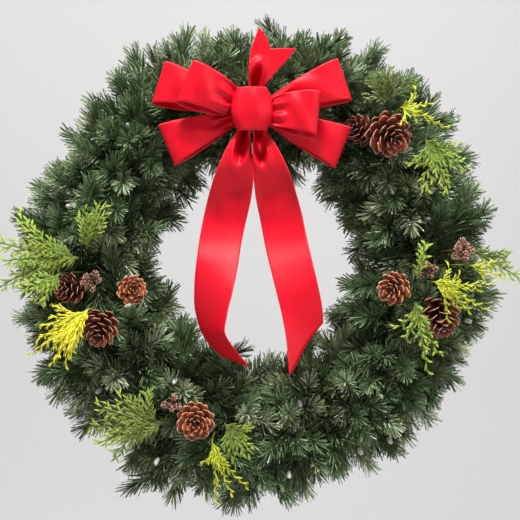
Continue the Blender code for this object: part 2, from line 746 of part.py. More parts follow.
def lamp_points(angle, radius, depth):
    """A lamp's lead, from the cord behind the ring forwards, and the tip of its bulb."""
    cord = ring_place(angle, LIGHT_CORD_RING, LIGHT_CORD_DEPTH)
    rise = ring_place(angle, LIGHT_CORD_RING + 0.002, BUNDLE_DEPTH + 0.010)
    socket = ring_place(angle, radius, depth - LAMP_LENGTH)
    heading = (Vector((0, -1, 0)) + radial(angle) * LAMP_LEAN).normalized()
    return [cord, rise, socket], socket + heading * LAMP_LENGTH


def build_lights(collection):
    """The light string: its cord behind the ring, and a lead with a socket and a bulb for each lamp."""
    first, last = 90 + LIGHT_CORD_ENDS, 450 - LIGHT_CORD_ENDS
    at_lamps = sorted((angle - 90) % 360 + 90 for angle, _, _ in LAMPS)
    cord_angles = [first]
    for angle in [*at_lamps, last]:
        parts = math.ceil((angle - cord_angles[-1]) / CORD_STEP)
        start = cord_angles[-1]
        cord_angles += [start + (angle - start) * part / parts for part in range(1, parts + 1)]
    cord = [ring_place(angle, LIGHT_CORD_RING, LIGHT_CORD_DEPTH) for angle in cord_angles]
    radii = [LIGHT_CORD_RADIUS] * len(cord)
    radii[0] = radii[-1] = LAMP_RADIUS
    bm, _, _ = grow_tube(cord, radii)
    bmesh.ops.triangulate(bm, faces=bm.faces[:])
    meshes = [mesh_from(bm, "cord")]
    for angle, radius, depth in LAMPS:
        lead, tip = lamp_points(angle, radius, depth)
        points = [*lead, *(lead[-1].lerp(tip, share) for share, _ in LAMP_OUTLINE)]
        widths = [LEAD_RADIUS] * len(lead) + [radius for _, radius in LAMP_OUTLINE]
        bm, _, _ = grow_tube(points, widths)
        bmesh.ops.triangulate(bm, faces=bm.faces[:])
        meshes.append(mesh_from(bm, "lamp"))
    return united("light_string", meshes, collection, "light_cord")


# ---------------------------------------------------------------- cones and seeds
def cone_mesh(cone):
    """An egg of spiral scales: each face of a twisted ball is raised to a scale that leans to the tip."""
    columns, rows = 8, 8
    bm = bmesh.new()
    bmesh.ops.create_uvsphere(bm, u_segments=columns, v_segments=rows, radius=1)
    for vertex in bm.verts:
        height = max(-1.0, min(1.0, vertex.co.z))
        row = round(math.acos(height) / math.pi * rows)
        share = row / rows  # 0 at the tip
        width = math.sin(math.pi * share ** 0.82) ** 0.75 if 0 < row < rows else 0
        turn = math.atan2(vertex.co.y, vertex.co.x) + row * math.pi / columns
        radius = cone.radius * 0.80 * width
        vertex.co = Vector((radius * math.cos(turn), radius * math.sin(turn), cone.length * (0.5 - share)))
    bm.normal_update()
    for face in [f for f in bm.faces if len(f.verts) == 4]:
        middle, normal = face.calc_center_median(), face.normal.copy()
        out = Vector((middle.x, middle.y, 0)).normalized()
        lift = cone.radius * 0.22
        apex = middle + normal * lift * 0.5 + out * lift * 0.6 + Vector((0, 0, cone.length * 0.045))
        bmesh.ops.poke(bm, faces=[face])["verts"][0].co = apex
    bmesh.ops.triangulate(bm, faces=bm.faces[:])
    facing = Vector((cone.tip[0], -cone.tip[1], cone.tip[2])).normalized().to_track_quat("Z", "Y")
    bm.transform(Matrix.Translation(place(cone.x, cone.height, cone.depth)) @ facing.to_matrix().to_4x4())
    return mesh_from(bm, "scales")


def pick_mesh(start, end, radius=PICK_RADIUS):
    """A straight pick wire between two points."""
    bm, _, _ = grow_tube([start, end], [radius, radius])
    bmesh.ops.triangulate(bm, faces=bm.faces[:])
    return mesh_from(bm, "pick")


def build_cones(collection):
    for number, cone in enumerate(CONES):
        middle = place(cone.x, cone.height, cone.depth)
        foot = on_bundle(middle, PICK_RADIUS + TOUCH_GAP)
        meshes = [cone_mesh(cone), pick_mesh(middle, foot)]
        united(f"pine_cone_{number + 1}", meshes, collection, "cone_scales")


def build_seeds(collection):
    """Husks round the end of a short twig that reaches its bundle."""
    for number, spot in enumerate(SEED_CLUSTERS):
        middle = place(*spot)
        foot = on_bundle(middle, PICK_RADIUS + TOUCH_GAP)
        away = (middle - foot).normalized()
        meshes = [pick_mesh(foot, middle + away * 0.004, PICK_RADIUS * 1.15)]
        side = away.orthogonal().normalized()
        for index in range(HUSKS):
            around = Matrix.Rotation(math.tau * index / HUSKS + number, 3, away) @ side
            heading = (around + away * (0.25 + 0.5 * (index % 2))).normalized()
            bm = bmesh.new()
            bmesh.ops.create_uvsphere(bm, u_segments=4, v_segments=2, radius=1)
            facing = heading.to_track_quat("Z", "Y").to_matrix().to_4x4()
            size = Matrix.Diagonal((HUSK_SIZE[0], HUSK_SIZE[0], HUSK_SIZE[1], 1))
            shift = Matrix.Translation(middle + heading * HUSK_OUT)
            bm.transform(shift @ facing @ size)
            meshes.append(mesh_from(bm, "husk"))
        united(f"seed_cluster_{number + 1}", meshes, collection, "seed_husk")


# ---------------------------------------------------------------- flat fronds
STEM_STEPS = 3
STEM_HALF_WIDTH = 0.0016


def frond_rib(frond):
    """The points of the stem and of the rib, and the direction across them."""
    root, tip = place(*frond.root), place(*frond.tip)
    foot = on_bundle(root, 0.0012)
    across = (tip - root).cross(root - foot).normalized()
    steps = frond.leaflets * (1 if frond.broad else 2)
    rib = []
    for index in range(steps + 1):
        share = index / steps
        bow = frond.arch * math.sin(math.pi * (0.1 + 0.9 * share))
        rib.append(root.lerp(tip, share) + Vector((0, -bow, 0)))
    stem = [foot.lerp(rib[0], index / STEM_STEPS) for index in range(STEM_STEPS)]
    return stem, rib, across


def add_leaflet(bm, frond, base, along, across, side, share):
    """A leaflet on one side of the rib, on the edge between two of the rib's vertices."""
    start, end = base
    width = frond.half_width * math.sin(math.pi * (0.20 + 0.80 * share)) ** 0.7 + 0.004
    forward = width / math.tan(math.radians(frond.leaflet_angle)) * 0.75
    tip = (start.co + end.co) / 2 + across * side * width + along * forward + Vector((0, width * 0.16, 0))
    tip_vertex = bm.verts.new(tip)
    if not frond.broad:
        bm.faces.new((start, tip_vertex, end))
        return
    knee = bm.verts.new(start.co.lerp(tip, 0.52) + across * side * 0.0022)
    bm.faces.new((start, knee, end))
    bm.faces.new((knee, tip_vertex, end))


def build_frond(frond, collection):
    """One thin blade cut to its rib: a strip for stem and rib, with a leaflet off each side at each step."""
    stem, rib, across = frond_rib(frond)
    points = stem + rib
    bm = bmesh.new()
    pairs = []
    for index, point in enumerate(points):
        share = max(0, index - len(stem)) / (len(rib) - 1)
        half = STEM_HALF_WIDTH * (1 - 0.45 * share)
        pairs.append((bm.verts.new(point - across * half), bm.verts.new(point + across * half)))
    for (a, b), (c, d) in zip(pairs, pairs[1:]):
        bm.faces.new((a, b, d, c))
    step = 1 if frond.broad else 2
    for number in range(frond.leaflets):
        index = len(stem) + number * step
        along = (points[index + 1] - points[index]).normalized()
        for column, side in enumerate((-1, 1)):
            base = (pairs[index][column], pairs[index + 1][column])
            add_leaflet(bm, frond, base, along, across, side, (number + 0.5) / frond.leaflets)
    bmesh.ops.triangulate(bm, faces=bm.faces[:])
    bmesh.ops.recalc_face_normals(bm, faces=bm.faces[:])
    obj = new_object(frond.name, mesh_from(bm, frond.name), collection, frond.finish)
    wall = obj.modifiers.new("thickness", "SOLIDIFY")
    wall.thickness = BLADE_THICKNESS
    wall.offset = 0
    wall.use_even_offset = False
    return obj


# ---------------------------------------------------------------- the bow
def ribbon_sheet(name, along, across, shape, collection):
    """A strip of ribbon, whose points are shape(u, s): u from 0 to 1 along it and s from -1 to 1 across."""
    bm = bmesh.new()
    bmesh.ops.create_grid(bm, x_segments=along, y_segments=across, size=1)
    for vertex in bm.verts:
        vertex.co = shape((vertex.co.x + 1) / 2, vertex.co.y)
    bmesh.ops.triangulate(bm, faces=bm.faces[:])
    obj = new_object(name, mesh_from(bm, name), collection, "bow_satin")
    wall = obj.modifiers.new("thickness", "SOLIDIFY")
    wall.thickness = RIBBON_THICKNESS
    wall.offset = 0
    wall.use_even_offset = False
    return obj


def loop_point(loop, u, s):
    """A point of a loop: out along the front, round the fold and back to the knot behind."""
    turn = math.tau * u
    span = loop.reach - loop.root
    share = (1 - math.cos(turn)) / 2
    out = loop.root + span * share
    half = loop.root_half_width + (RIBBON / 2 - loop.root_half_width) * share ** 0.9
    lift = 1.3 * loop.bulge * math.sin(turn) * math.sin(turn / 2) + LOOP_ROOT_GAP * math.cos(turn / 2)
    depth = loop.root_depth + (loop.tip_depth - loop.root_depth) * share + lift
    heading, side = radial(loop.angle), radial(loop.angle + 90)
    spot = place(KNOT[0], KNOT[1], depth)
    return spot + heading * out + side * s * half


def tail_point(stations, u, s, cup):
    """A point of a hanging end, on a smooth curve through its stations."""
    span = (len(stations) - 1) * u
    index = min(int(span), len(stations) - 2)
    share = span - index
    rows = [stations[max(0, min(len(stations) - 1, index + step))] for step in (-1, 0, 1, 2)]

    def blend(column):
        a, b, c, d = (row[column] for row in rows)
        bend, twist = 2 * a - 5 * b + 4 * c - d, 3 * b - a - 3 * c + d
        return 0.5 * (2 * b + (c - a) * share + bend * share ** 2 + twist * share ** 3)

    x, height, depth, half, turn = (blend(column) for column in range(5))
    before, after = rows[1], rows[2]
    heading = Vector((after[0] - before[0], 0, after[1] - before[1])).normalized()
    side = Vector((-heading.z, 0, heading.x)) * (1 if heading.z < 0 else -1)
    turn = math.radians(turn)
    across = side * math.cos(turn) + Vector((0, -1, 0)) * math.sin(turn)
    depth += cup * (s * s - 0.4) * max(0.0, 1 - u * 2.2)
    return place(x, height, depth) + across * half * s


def build_bow(collection):
    """The knot, six loops, the short end that stands up and the two long ends that hang."""
    bpy.ops.mesh.primitive_cube_add(size=1)
    cage = bpy.context.object
    cage.name = "bow_knot"
    for owner in list(cage.users_collection):
        owner.objects.unlink(cage)
    collection.objects.link(cage)
    cage.location = place(*KNOT)
    cage.scale = [side * 1.06 for side in KNOT_SIZE]
    crease = cage.data.attributes.new("crease_edge", "FLOAT", "EDGE")
    crease.data.foreach_set("value", [0.40] * len(cage.data.edges))
    cage.data.materials.append(finish_material("bow_satin"))
    rounding = cage.modifiers.new("rounding", "SUBSURF")
    rounding.levels = rounding.render_levels = 2
    for loop in BOW_LOOPS:
        ribbon_sheet(loop.name, 14, 2, lambda u, s, one=loop: loop_point(one, u, s), collection)
    for name, stations, along in (
        ("bow_tail_left", TAIL_LEFT, 14),
        ("bow_tail_right", TAIL_RIGHT, 14),
        ("bow_end_top", TOP_END, 5),
    ):
        ribbon_sheet(name, along, 2, lambda u, s, one=stations: tail_point(one, u, s, 0.010), collection)


def main():
    clear_scene()
    parts = bpy.data.collections.new("evergreen_wreath")
    bpy.context.scene.collection.children.link(parts)
    build_frame(parts)
    build_hanger(parts)
    build_bow(parts)
    build_tie(parts)
    build_lights(parts)
    build_cones(parts)
    build_seeds(parts)
    for frond in FRONDS:
        build_frond(frond, parts)
    neighbours = Neighbours()
    for obj in parts.objects:
        mesh = baked(obj)
        neighbours.add_mesh(obj.name, mesh)
        bpy.data.meshes.remove(mesh)
    build_bunches(parts, neighbours)


main()
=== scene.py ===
"""Looks for a 30 inch evergreen wreath with cones, cedar, golden cypress, mini lights and a satin bow.

Units are metres, +Z is up, the wall is y = 0 and the wreath stands in front of it, towards -Y. A place is
given from the centre of the wreath's ring: an angle with a radius, or an x and a height, and a depth, its
distance in front of the wall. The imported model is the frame, and each piece here stands for its nodes.
"""

import logging
import math
import random
from dataclasses import dataclass, field
from enum import Enum
from functools import partial, reduce
from typing import Any, Callable, Iterable, Iterator, Sequence

import bmesh
import bpy
import numpy as np
from bpy.types import Material, Mesh, Node, NodeSocket, NodeTree, Object
from mathutils import Matrix, Vector

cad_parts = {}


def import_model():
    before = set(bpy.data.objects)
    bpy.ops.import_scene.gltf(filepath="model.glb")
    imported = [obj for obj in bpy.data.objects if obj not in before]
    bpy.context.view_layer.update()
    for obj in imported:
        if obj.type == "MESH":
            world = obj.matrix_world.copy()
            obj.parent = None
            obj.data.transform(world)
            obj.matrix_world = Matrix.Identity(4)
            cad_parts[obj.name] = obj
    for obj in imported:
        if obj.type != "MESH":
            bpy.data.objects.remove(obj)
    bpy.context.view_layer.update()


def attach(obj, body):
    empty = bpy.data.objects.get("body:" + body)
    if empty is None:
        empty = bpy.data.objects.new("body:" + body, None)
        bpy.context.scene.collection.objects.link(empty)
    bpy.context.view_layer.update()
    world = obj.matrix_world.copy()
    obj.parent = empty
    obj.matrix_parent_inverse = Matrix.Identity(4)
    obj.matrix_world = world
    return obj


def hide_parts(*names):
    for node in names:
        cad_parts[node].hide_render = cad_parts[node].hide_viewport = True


LOG = logging.getLogger("wreath")
FRONT = Vector((0, -1, 0))
GOLDEN_ANGLE = math.pi * (3 - math.sqrt(5))
Colour = tuple[float, float, float]
Place = tuple[float, float, float]
Span = tuple[float, float]


class Slot(Enum):
    """The record's material slots."""

    FIR = "fir"
    CEDAR = "cedar"
    CYPRESS = "golden_cypress"
    CONE = "cone"
    HUSK = "seed_husk"
    SATIN = "bow_satin"
    FRAME_WIRE = "frame_wire"
    TIE_WIRE = "tie_wire"
    LIGHTS = "light_string"


class Tone(Enum):
    """The colours of the fronds: name, rib colour, grown colour and tip colour, the rib colour partly painted
    shade. Cypress is gold or lime.
    """

    GREEN = ("cedar_green", (0.04, 0.058, 0.008), (0.16, 0.245, 0.024), (0.5, 0.66, 0.1))
    OLIVE = ("cedar_olive", (0.035, 0.055, 0.01), (0.1, 0.15, 0.025), (0.25, 0.33, 0.07))
    GOLD = ("golden_cypress", (0.45, 0.4, 0.018), (0.92, 0.86, 0.03), (1.0, 0.97, 0.12))
    LIME = ("lime_cypress", (0.26, 0.28, 0.014), (0.62, 0.68, 0.028), (0.86, 0.9, 0.11))


# ---------------------------------------------------------------- places on the ring
@dataclass(frozen=True)
class Ring:
    """The wire ring that carries the wreath, and the places measured from its centre."""

    below_nail: float = 0.28
    radius: float = 0.25
    wire: float = 0.0019
    bunches: int = 18
    bundle_radius: float = 0.0085
    bundle_depth: float = 0.0345
    bundle_gap: float = 1.9
    pick_margin: float = 0.6
    touch_gap: float = 0.0003

    @property
    def depth(self) -> float:
        """The depth of the wire's middle, which lies behind the bundles."""
        return self.bundle_depth - self.bundle_radius - self.wire - self.touch_gap

    @property
    def sector(self) -> float:
        """Degrees of the ring that one bunch covers."""
        return 360 / self.bunches

    def place(self, x: float, height: float, depth: float) -> Vector:
        """The point at x and height from the ring's centre, this far in front of the wall."""
        return Vector((x, -depth, height - self.below_nail))

    def polar(self, angle: float, radius: float, depth: float) -> Vector:
        """The point at this angle in degrees and radius from the ring's centre."""
        turn = math.radians(angle)
        return self.place(radius * math.cos(turn), radius * math.sin(turn), depth)

    def outwards(self, angle: float) -> Vector:
        """The unit vector away from the ring's centre at an angle."""
        turn = math.radians(angle)
        return Vector((math.cos(turn), 0, math.sin(turn)))

    def sector_angle(self, index: int) -> float:
        """The middle of a bunch's sector. The first one starts at the top, where the bow is tied."""
        return 90 + self.sector * (index + 0.5)

    def on_bundle(self, point: Vector, gap: float = 0.0003) -> Vector:
        """The place where a pick that starts at a point goes into its bundle, a gap off its surface.

        Args:
            point: where the pick starts.
            gap: how far off the bundle it ends.

        Returns:
            The place at the bundle.
        """
        angle = math.degrees(math.atan2(point.z + self.below_nail, point.x))
        middle = self.sector_angle(math.floor((angle - 90) / self.sector))
        reach = self.sector / 2 - self.bundle_gap - self.pick_margin
        angle = max(middle - reach, min(middle + reach, angle))
        centre = self.polar(angle, self.radius, self.bundle_depth)
        return centre + (point - centre).normalized() * (self.bundle_radius + gap)


RING = Ring()


@dataclass(frozen=True)
class ConeSpot:
    """A pine cone: where its middle is, which way its tip points, and its size."""

    x: float
    height: float
    depth: float
    tip: Place
    length: float
    radius: float
    rusty: bool = False

    @property
    def middle(self) -> Vector:
        """The middle of the cone."""
        return RING.place(self.x, self.height, self.depth)

    @property
    def axis(self) -> Vector:
        """The unit vector from the cone's stalk to its tip."""
        return Vector((self.tip[0], -self.tip[1], self.tip[2])).normalized()


@dataclass(frozen=True)
class FrondSpot:
    """A flat spray: its root, tip and half width as the frame has them, and the ends of its ribs."""

    name: str
    root: Place
    tip: Place
    half_width: float
    ends: tuple[Place, ...]
    side_reach: float = 0.012
    fresh: float = 0.0
    tone: Tone = Tone.GREEN

    @property
    def is_thread(self) -> bool:
        """Whether it grows long threads, as cypress does, and not flat fans, as cedar does."""
        return self.tone in (Tone.GOLD, Tone.LIME)


CONES = (
    ConeSpot(0.19, 0.183, 0.16, (0.3, 0.88, -0.35), 0.058, 0.0315),
    ConeSpot(0.148, 0.195, 0.122, (-0.55, 0.75, 0.3), 0.05, 0.0215),
    ConeSpot(-0.279, -0.04, 0.137, (-0.62, 0.7, 0.05), 0.048, 0.022),
    ConeSpot(-0.232, -0.099, 0.152, (-0.1, 0.85, -0.48), 0.056, 0.0265),
    ConeSpot(-0.185, -0.042, 0.148, (0.25, 0.95, 0.1), 0.04, 0.021, True),
    ConeSpot(-0.093, -0.234, 0.152, (0.05, 0.98, -0.1), 0.05, 0.0268, True),
    ConeSpot(0.196, -0.041, 0.15, (-0.45, 0.85, -0.1), 0.044, 0.0235, True),
    ConeSpot(0.264, -0.083, 0.148, (0.12, 0.62, -0.72), 0.06, 0.029),
)

FRONDS = (
    FrondSpot(
        "cedar_left_fan", (-0.262, 0.004, 0.16), (-0.372, 0.03, 0.15), 0.034,
        ((-0.35, 0.066, 0.148), (-0.39, 0.03, 0.146), (-0.372, 0.0, 0.152), (-0.38, -0.04, 0.146)),
        0.011, 0.1,
    ),
    FrondSpot(
        "cedar_left_low", (-0.285, -0.018, 0.182), (-0.358, -0.05, 0.168), 0.016,
        ((-0.344, -0.04, 0.174), (-0.318, -0.056, 0.176)), 0.01, 0.25,
    ),
    FrondSpot(
        "cedar_left_upright", (-0.25, 0.018, 0.158), (-0.222, 0.078, 0.16), 0.018,
        ((-0.229, 0.078, 0.16), (-0.252, 0.06, 0.156)), 0.015, 0.05,
    ),
    FrondSpot(
        "cedar_top_right", (0.243, 0.176, 0.158), (0.256, 0.098, 0.158), 0.034,
        (
            (0.242, 0.1, 0.16), (0.273, 0.104, 0.16), (0.304, 0.134, 0.154), (0.292, 0.166, 0.152),
            (0.222, 0.14, 0.162),
        ),
        0.009, 0.1,
    ),
    FrondSpot(
        "cedar_top_olive", (0.19, 0.232, 0.142), (0.172, 0.284, 0.138), 0.02,
        ((0.167, 0.268, 0.138), (0.188, 0.278, 0.14), (0.222, 0.264, 0.138), (0.158, 0.242, 0.14)),
        0.011, -0.15, Tone.OLIVE,
    ),
    FrondSpot(
        "cedar_bottom_left", (-0.14, -0.236, 0.158), (-0.238, -0.242, 0.148), 0.03,
        (
            (-0.163, -0.19, 0.158), (-0.204, -0.196, 0.154), (-0.236, -0.21, 0.15),
            (-0.248, -0.242, 0.146), (-0.234, -0.266, 0.15), (-0.212, -0.284, 0.152),
        ),
        0.012, -0.12,
    ),
    FrondSpot(
        "cedar_bottom_small", (-0.05, -0.236, 0.156), (-0.014, -0.28, 0.15), 0.015,
        ((-0.02, -0.246, 0.152), (-0.012, -0.284, 0.15), (-0.042, -0.288, 0.152)), 0.01,
    ),
    FrondSpot(
        "cedar_right_long", (0.226, -0.06, 0.172), (0.248, -0.186, 0.16), 0.024,
        (
            (0.246, -0.166, 0.162), (0.199, -0.096, 0.166), (0.24, -0.09, 0.17), (0.212, -0.116, 0.164),
            (0.262, -0.136, 0.158),
        ),
        0.003, 0.18,
    ),
    FrondSpot(
        "cedar_right_sprig", (0.2285, -0.026, 0.166), (0.2395, 0.024, 0.16), 0.007,
        ((0.242, 0.026, 0.16),), 0.005, 0.1,
    ),
    FrondSpot(
        "cedar_far_right", (0.312, 0.014, 0.136), (0.378, -0.018, 0.128), 0.013,
        ((0.364, 0.006, 0.13), (0.384, -0.026, 0.126)), 0.01, -0.05,
    ),
    FrondSpot(
        "cypress_left", (-0.246, -0.07, 0.176), (-0.308, -0.15, 0.158), 0.032,
        (
            (-0.294, -0.062, 0.172), (-0.318, -0.094, 0.166), (-0.334, -0.136, 0.16), (-0.312, -0.122, 0.17),
            (-0.302, -0.152, 0.164), (-0.28, -0.154, 0.166), (-0.268, -0.13, 0.172), (-0.288, -0.112, 0.176),
            (-0.3, -0.08, 0.176), (-0.322, -0.114, 0.164), (-0.292, -0.14, 0.174), (-0.27, -0.106, 0.178),
        ),
        0.017, 0.15, Tone.GOLD,
    ),
    FrondSpot(
        "cypress_top_right", (0.205, 0.222, 0.172), (0.268, 0.188, 0.16), 0.02,
        (
            (0.228, 0.252, 0.166), (0.249, 0.229, 0.166), (0.274, 0.192, 0.158), (0.226, 0.206, 0.176),
            (0.206, 0.2, 0.182),
        ),
        0.008, 0.0, Tone.LIME,
    ),
    FrondSpot(
        "cypress_bottom", (-0.068, -0.262, 0.164), (-0.04, -0.345, 0.152), 0.026,
        ((-0.063, -0.352, 0.15), (-0.039, -0.34, 0.152), (-0.016, -0.33, 0.154), (-0.084, -0.292, 0.16)),
        0.009, 0.0, Tone.LIME,
    ),
    FrondSpot(
        "cypress_right", (0.252, -0.03, 0.178), (0.322, -0.066, 0.164), 0.028,
        (
            (0.272, -0.088, 0.168), (0.29, -0.07, 0.168), (0.306, -0.074, 0.166), (0.331, -0.072, 0.16),
            (0.32, -0.042, 0.164), (0.34, -0.032, 0.16), (0.291, -0.018, 0.168), (0.274, -0.004, 0.17),
        ),
        0.009, 0.0, Tone.LIME,
    ),
    FrondSpot(
        "cypress_far_right", (0.306, -0.006, 0.156), (0.35, -0.03, 0.15), 0.014,
        ((0.356, -0.026, 0.15), (0.342, 0.0, 0.152), (0.328, -0.024, 0.154)), 0.007, 0.0, Tone.LIME,
    ),
)

SEED_SPOTS: tuple[Place, ...] = (
    (-0.244, -0.028, 0.15),
    (-0.128, -0.206, 0.156),
    (0.29, 0.016, 0.156),
    (0.243, -0.012, 0.146),
)

# Each lamp: its angle and the radius and depth where its bulb's tip shows.
LAMP_SPOTS: tuple[Place, ...] = (
    (164, 0.286, 0.12), (134, 0.272, 0.118), (199, 0.2, 0.112), (235, 0.212, 0.118), (286, 0.214, 0.12),
    (278, 0.315, 0.11), (298, 0.315, 0.108), (306, 0.326, 0.1), (312, 0.262, 0.124), (325, 0.33, 0.104),
    (344, 0.318, 0.108), (14, 0.25, 0.126), (57, 0.325, 0.104), (243, 0.33, 0.104), (219, 0.3, 0.118),
)


# ---------------------------------------------------------------- node trees
class Sketch:
    """A node tree under construction, with short calls for the nodes it is made of."""

    def __init__(self, tree: NodeTree) -> None:
        """Takes the tree that the nodes go into."""
        self.tree = tree

    def node(self, kind: str, sockets: dict[Any, Any] | None = None, **settings: Any) -> Node:
        """Adds a node.

        Args:
            kind: the node's type name.
            sockets: a value or another node's output for each input, by name or number.
            **settings: the node's own settings.

        Returns:
            The node.
        """
        made = self.tree.nodes.new(kind)
        for name, value in settings.items():
            setattr(made, name, value)
        for key, value in (sockets or {}).items():
            if isinstance(value, NodeSocket):
                self.tree.links.new(value, made.inputs[key])
            else:
                made.inputs[key].default_value = value
        return made

    def out(self, kind: str, sockets: dict[Any, Any] | None = None, **settings: Any) -> NodeSocket:
        """Adds a node in the same way, and returns its first output."""
        return self.node(kind, sockets, **settings).outputs[0]

    def math(self, operation: str, first: Any, second: Any = 0.0) -> NodeSocket:
        """The result of one sum on two numbers."""
        return self.out("ShaderNodeMath", {0: first, 1: second}, operation=operation)

    def plus(self, *terms: Any) -> NodeSocket:
        """The sum of numbers."""
        return reduce(lambda first, second: self.math("ADD", first, second), terms)

    def times(self, *factors: Any) -> NodeSocket:
        """The product of numbers."""
        return reduce(lambda first, second: self.math("MULTIPLY", first, second), factors)

    def xyz(self, x: Any = 0.0, y: Any = 0.0, z: Any = 0.0) -> NodeSocket:
        """A vector of three numbers."""
        return self.out("ShaderNodeCombineXYZ", {0: x, 1: y, 2: z})

    def mapped(self, value: Any, span: Span, onto: tuple[Any, Any]) -> NodeSocket:
        """A number moved from one span onto another, and kept inside it."""
        ends = {"From Min": span[0], "From Max": span[1], "To Min": onto[0], "To Max": onto[1]}
        return self.out("ShaderNodeMapRange", {"Value": value, **ends})


class GeometrySketch(Sketch):
    """A Geometry Nodes tree with named inputs."""

    def __init__(self, name: str) -> None:
        """Starts a tree that takes geometry in and gives geometry out.

        Args:
            name: the tree's name.
        """
        super().__init__(bpy.data.node_groups.new(name, "GeometryNodeTree"))
        for way in ("INPUT", "OUTPUT"):
            self.tree.interface.new_socket("Geometry", in_out=way, socket_type="NodeSocketGeometry")
        self.start = self.tree.nodes.new("NodeGroupInput")
        self.end = self.tree.nodes.new("NodeGroupOutput")

    def named(self, name: str, kind: str, default: Any = None) -> NodeSocket:
        """Adds a named input.

        Args:
            name: the input's name.
            kind: Float, Int, Object or Material.
            default: the value it has where none is given.

        Returns:
            The socket that carries the input inside the tree.
        """
        made = self.tree.interface.new_socket(name, in_out="INPUT", socket_type="NodeSocket" + kind)
        if default is not None:
            made.default_value = default
        return self.start.outputs[name]

    def numbers(self, **defaults: float) -> list[NodeSocket]:
        """Adds a named number for each of these, with _ for each space in its name."""
        return [self.named(key.replace("_", " "), "Float", value) for key, value in defaults.items()]

    @property
    def geometry(self) -> NodeSocket:
        """The geometry that comes in."""
        return self.start.outputs["Geometry"]

    @property
    def index(self) -> NodeSocket:
        """Each point's own number."""
        return self.out("GeometryNodeInputIndex")

    def attribute(self, name: str, kind: str = "FLOAT") -> NodeSocket:
        """A named attribute of the geometry."""
        return self.out("GeometryNodeInputNamedAttribute", {"Name": name}, data_type=kind)

    def stored(self, geometry: Any, name: str, value: Any) -> NodeSocket:
        """The geometry with a number kept on its points under a name."""
        sockets = {"Geometry": geometry, "Name": name, "Value": value}
        return self.out("GeometryNodeStoreNamedAttribute", sockets, data_type="FLOAT", domain="POINT")

    def random(self, low: Any, high: Any, seed: Any) -> NodeSocket:
        """A random number for each point, the same on every run."""
        sockets = {2: low, 3: high, "Seed": seed}
        return self.node("FunctionNodeRandomValue", sockets, data_type="FLOAT").outputs[1]

    def tinted(self, points: Any, seed: Any) -> NodeSocket:
        """Points that each carry a random tint for the material."""
        return self.stored(points, "tint", self.random(0.0, 1.0, seed))

    def turned(self, rotation: Any, axis: Place, angle: Any) -> NodeSocket:
        """A rotation followed by a turn about one of its own axes.

        Args:
            rotation: the first rotation.
            axis: the axis.
            angle: the turn, in radians.

        Returns:
            The rotation.
        """
        turn = self.out("FunctionNodeAxisAngleToRotation", {"Axis": axis, "Angle": angle})
        sockets = {"Rotation": rotation, "Rotate By": turn}
        return self.out("FunctionNodeRotateRotation", sockets, rotation_space="LOCAL")

    def aligned(self, vector: Any) -> NodeSocket:
        """The rotation that turns the Z axis along a vector."""
        return self.out("FunctionNodeAlignRotationToVector", {"Vector": vector}, axis="Z")

    def compared(self, first: Any, operation: str, second: Any) -> NodeSocket:
        """Whether one number is less or greater than another."""
        sockets = {0: first, 1: second}
        return self.out("FunctionNodeCompare", sockets, data_type="FLOAT", operation=operation)

    def truth(self, operation: str, *values: Any) -> NodeSocket:
        """The result of one step of logic on one or two truths."""
        return self.out("FunctionNodeBooleanMath", dict(enumerate(values)), operation=operation)

    def strands(self) -> NodeSocket:
        """The incoming chains of edges as curves."""
        return self.out("GeometryNodeMeshToCurve", {"Mesh": self.geometry})

    def circle(self, sides: Any, radius: Any) -> NodeSocket:
        """A circle of so many sides."""
        sockets = {"Resolution": sides, "Radius": radius}
        return self.out("GeometryNodeCurvePrimitiveCircle", sockets, mode="RADIUS")

    def smooth(self, geometry: Any) -> NodeSocket:
        """The geometry shaded smooth."""
        return self.out("GeometryNodeSetShadeSmooth", {"Geometry": geometry})

    def tube(self, curve: Any, sides: Any, material: Any) -> NodeSocket:
        """A closed tube round a curve, as wide as the curve's width attribute says.

        Args:
            curve: the curve.
            sides: how many sides the tube has.
            material: what it is made of.

        Returns:
            The tube.
        """
        sockets = {"Curve": curve, "Profile Curve": self.circle(sides, 1.0), "Scale": self.attribute("width")}
        tube = self.out("GeometryNodeCurveToMesh", {**sockets, "Fill Caps": True})
        return self.dressed(self.smooth(tube), material)

    def stations(self, spacing: Any, material: Any, sides: int = 5) -> tuple[Node, NodeSocket]:
        """Places for leaves along the incoming strands.

        Args:
            spacing: the distance from one place to the next.
            material: the strands' own material.
            sides: how many sides the strands' tubes have.

        Returns:
            The node that makes the points, which know their share of the way along, and the strands as tubes.
        """
        share = self.node("GeometryNodeSplineParameter").outputs["Factor"]
        curves = self.stored(self.strands(), "share", share)
        points = self.node("GeometryNodeCurveToPoints", {"Curve": curves, "Length": spacing}, mode="LENGTH")
        return points, self.tube(curves, sides, material)

    def dressed(self, geometry: Any, material: Any) -> NodeSocket:
        """The geometry with a material."""
        return self.out("GeometryNodeSetMaterial", {"Geometry": geometry, "Material": material})

    def shape_of(self, thing: Any) -> NodeSocket:
        """The geometry of an object that comes in."""
        return self.node("GeometryNodeObjectInfo", {"Object": thing}).outputs["Geometry"]

    def copies(
        self, points: Any, shape: Any, rotation: Any, material: Any,
        scale: Any = (1, 1, 1), chosen: Any = True,
    ) -> NodeSocket:
        """Copies of a shape on points, made real and given a material.

        Args:
            points: where the copies go.
            shape: what is copied.
            rotation: how each copy is turned.
            material: what they are made of.
            scale: the size of each copy.
            chosen: which of the points get a copy.

        Returns:
            The copies.
        """
        sockets = {"Points": points, "Selection": chosen, "Instance": shape}
        placed = self.out("GeometryNodeInstanceOnPoints", {**sockets, "Rotation": rotation, "Scale": scale})
        return self.dressed(self.out("GeometryNodeRealizeInstances", {"Geometry": placed}), material)

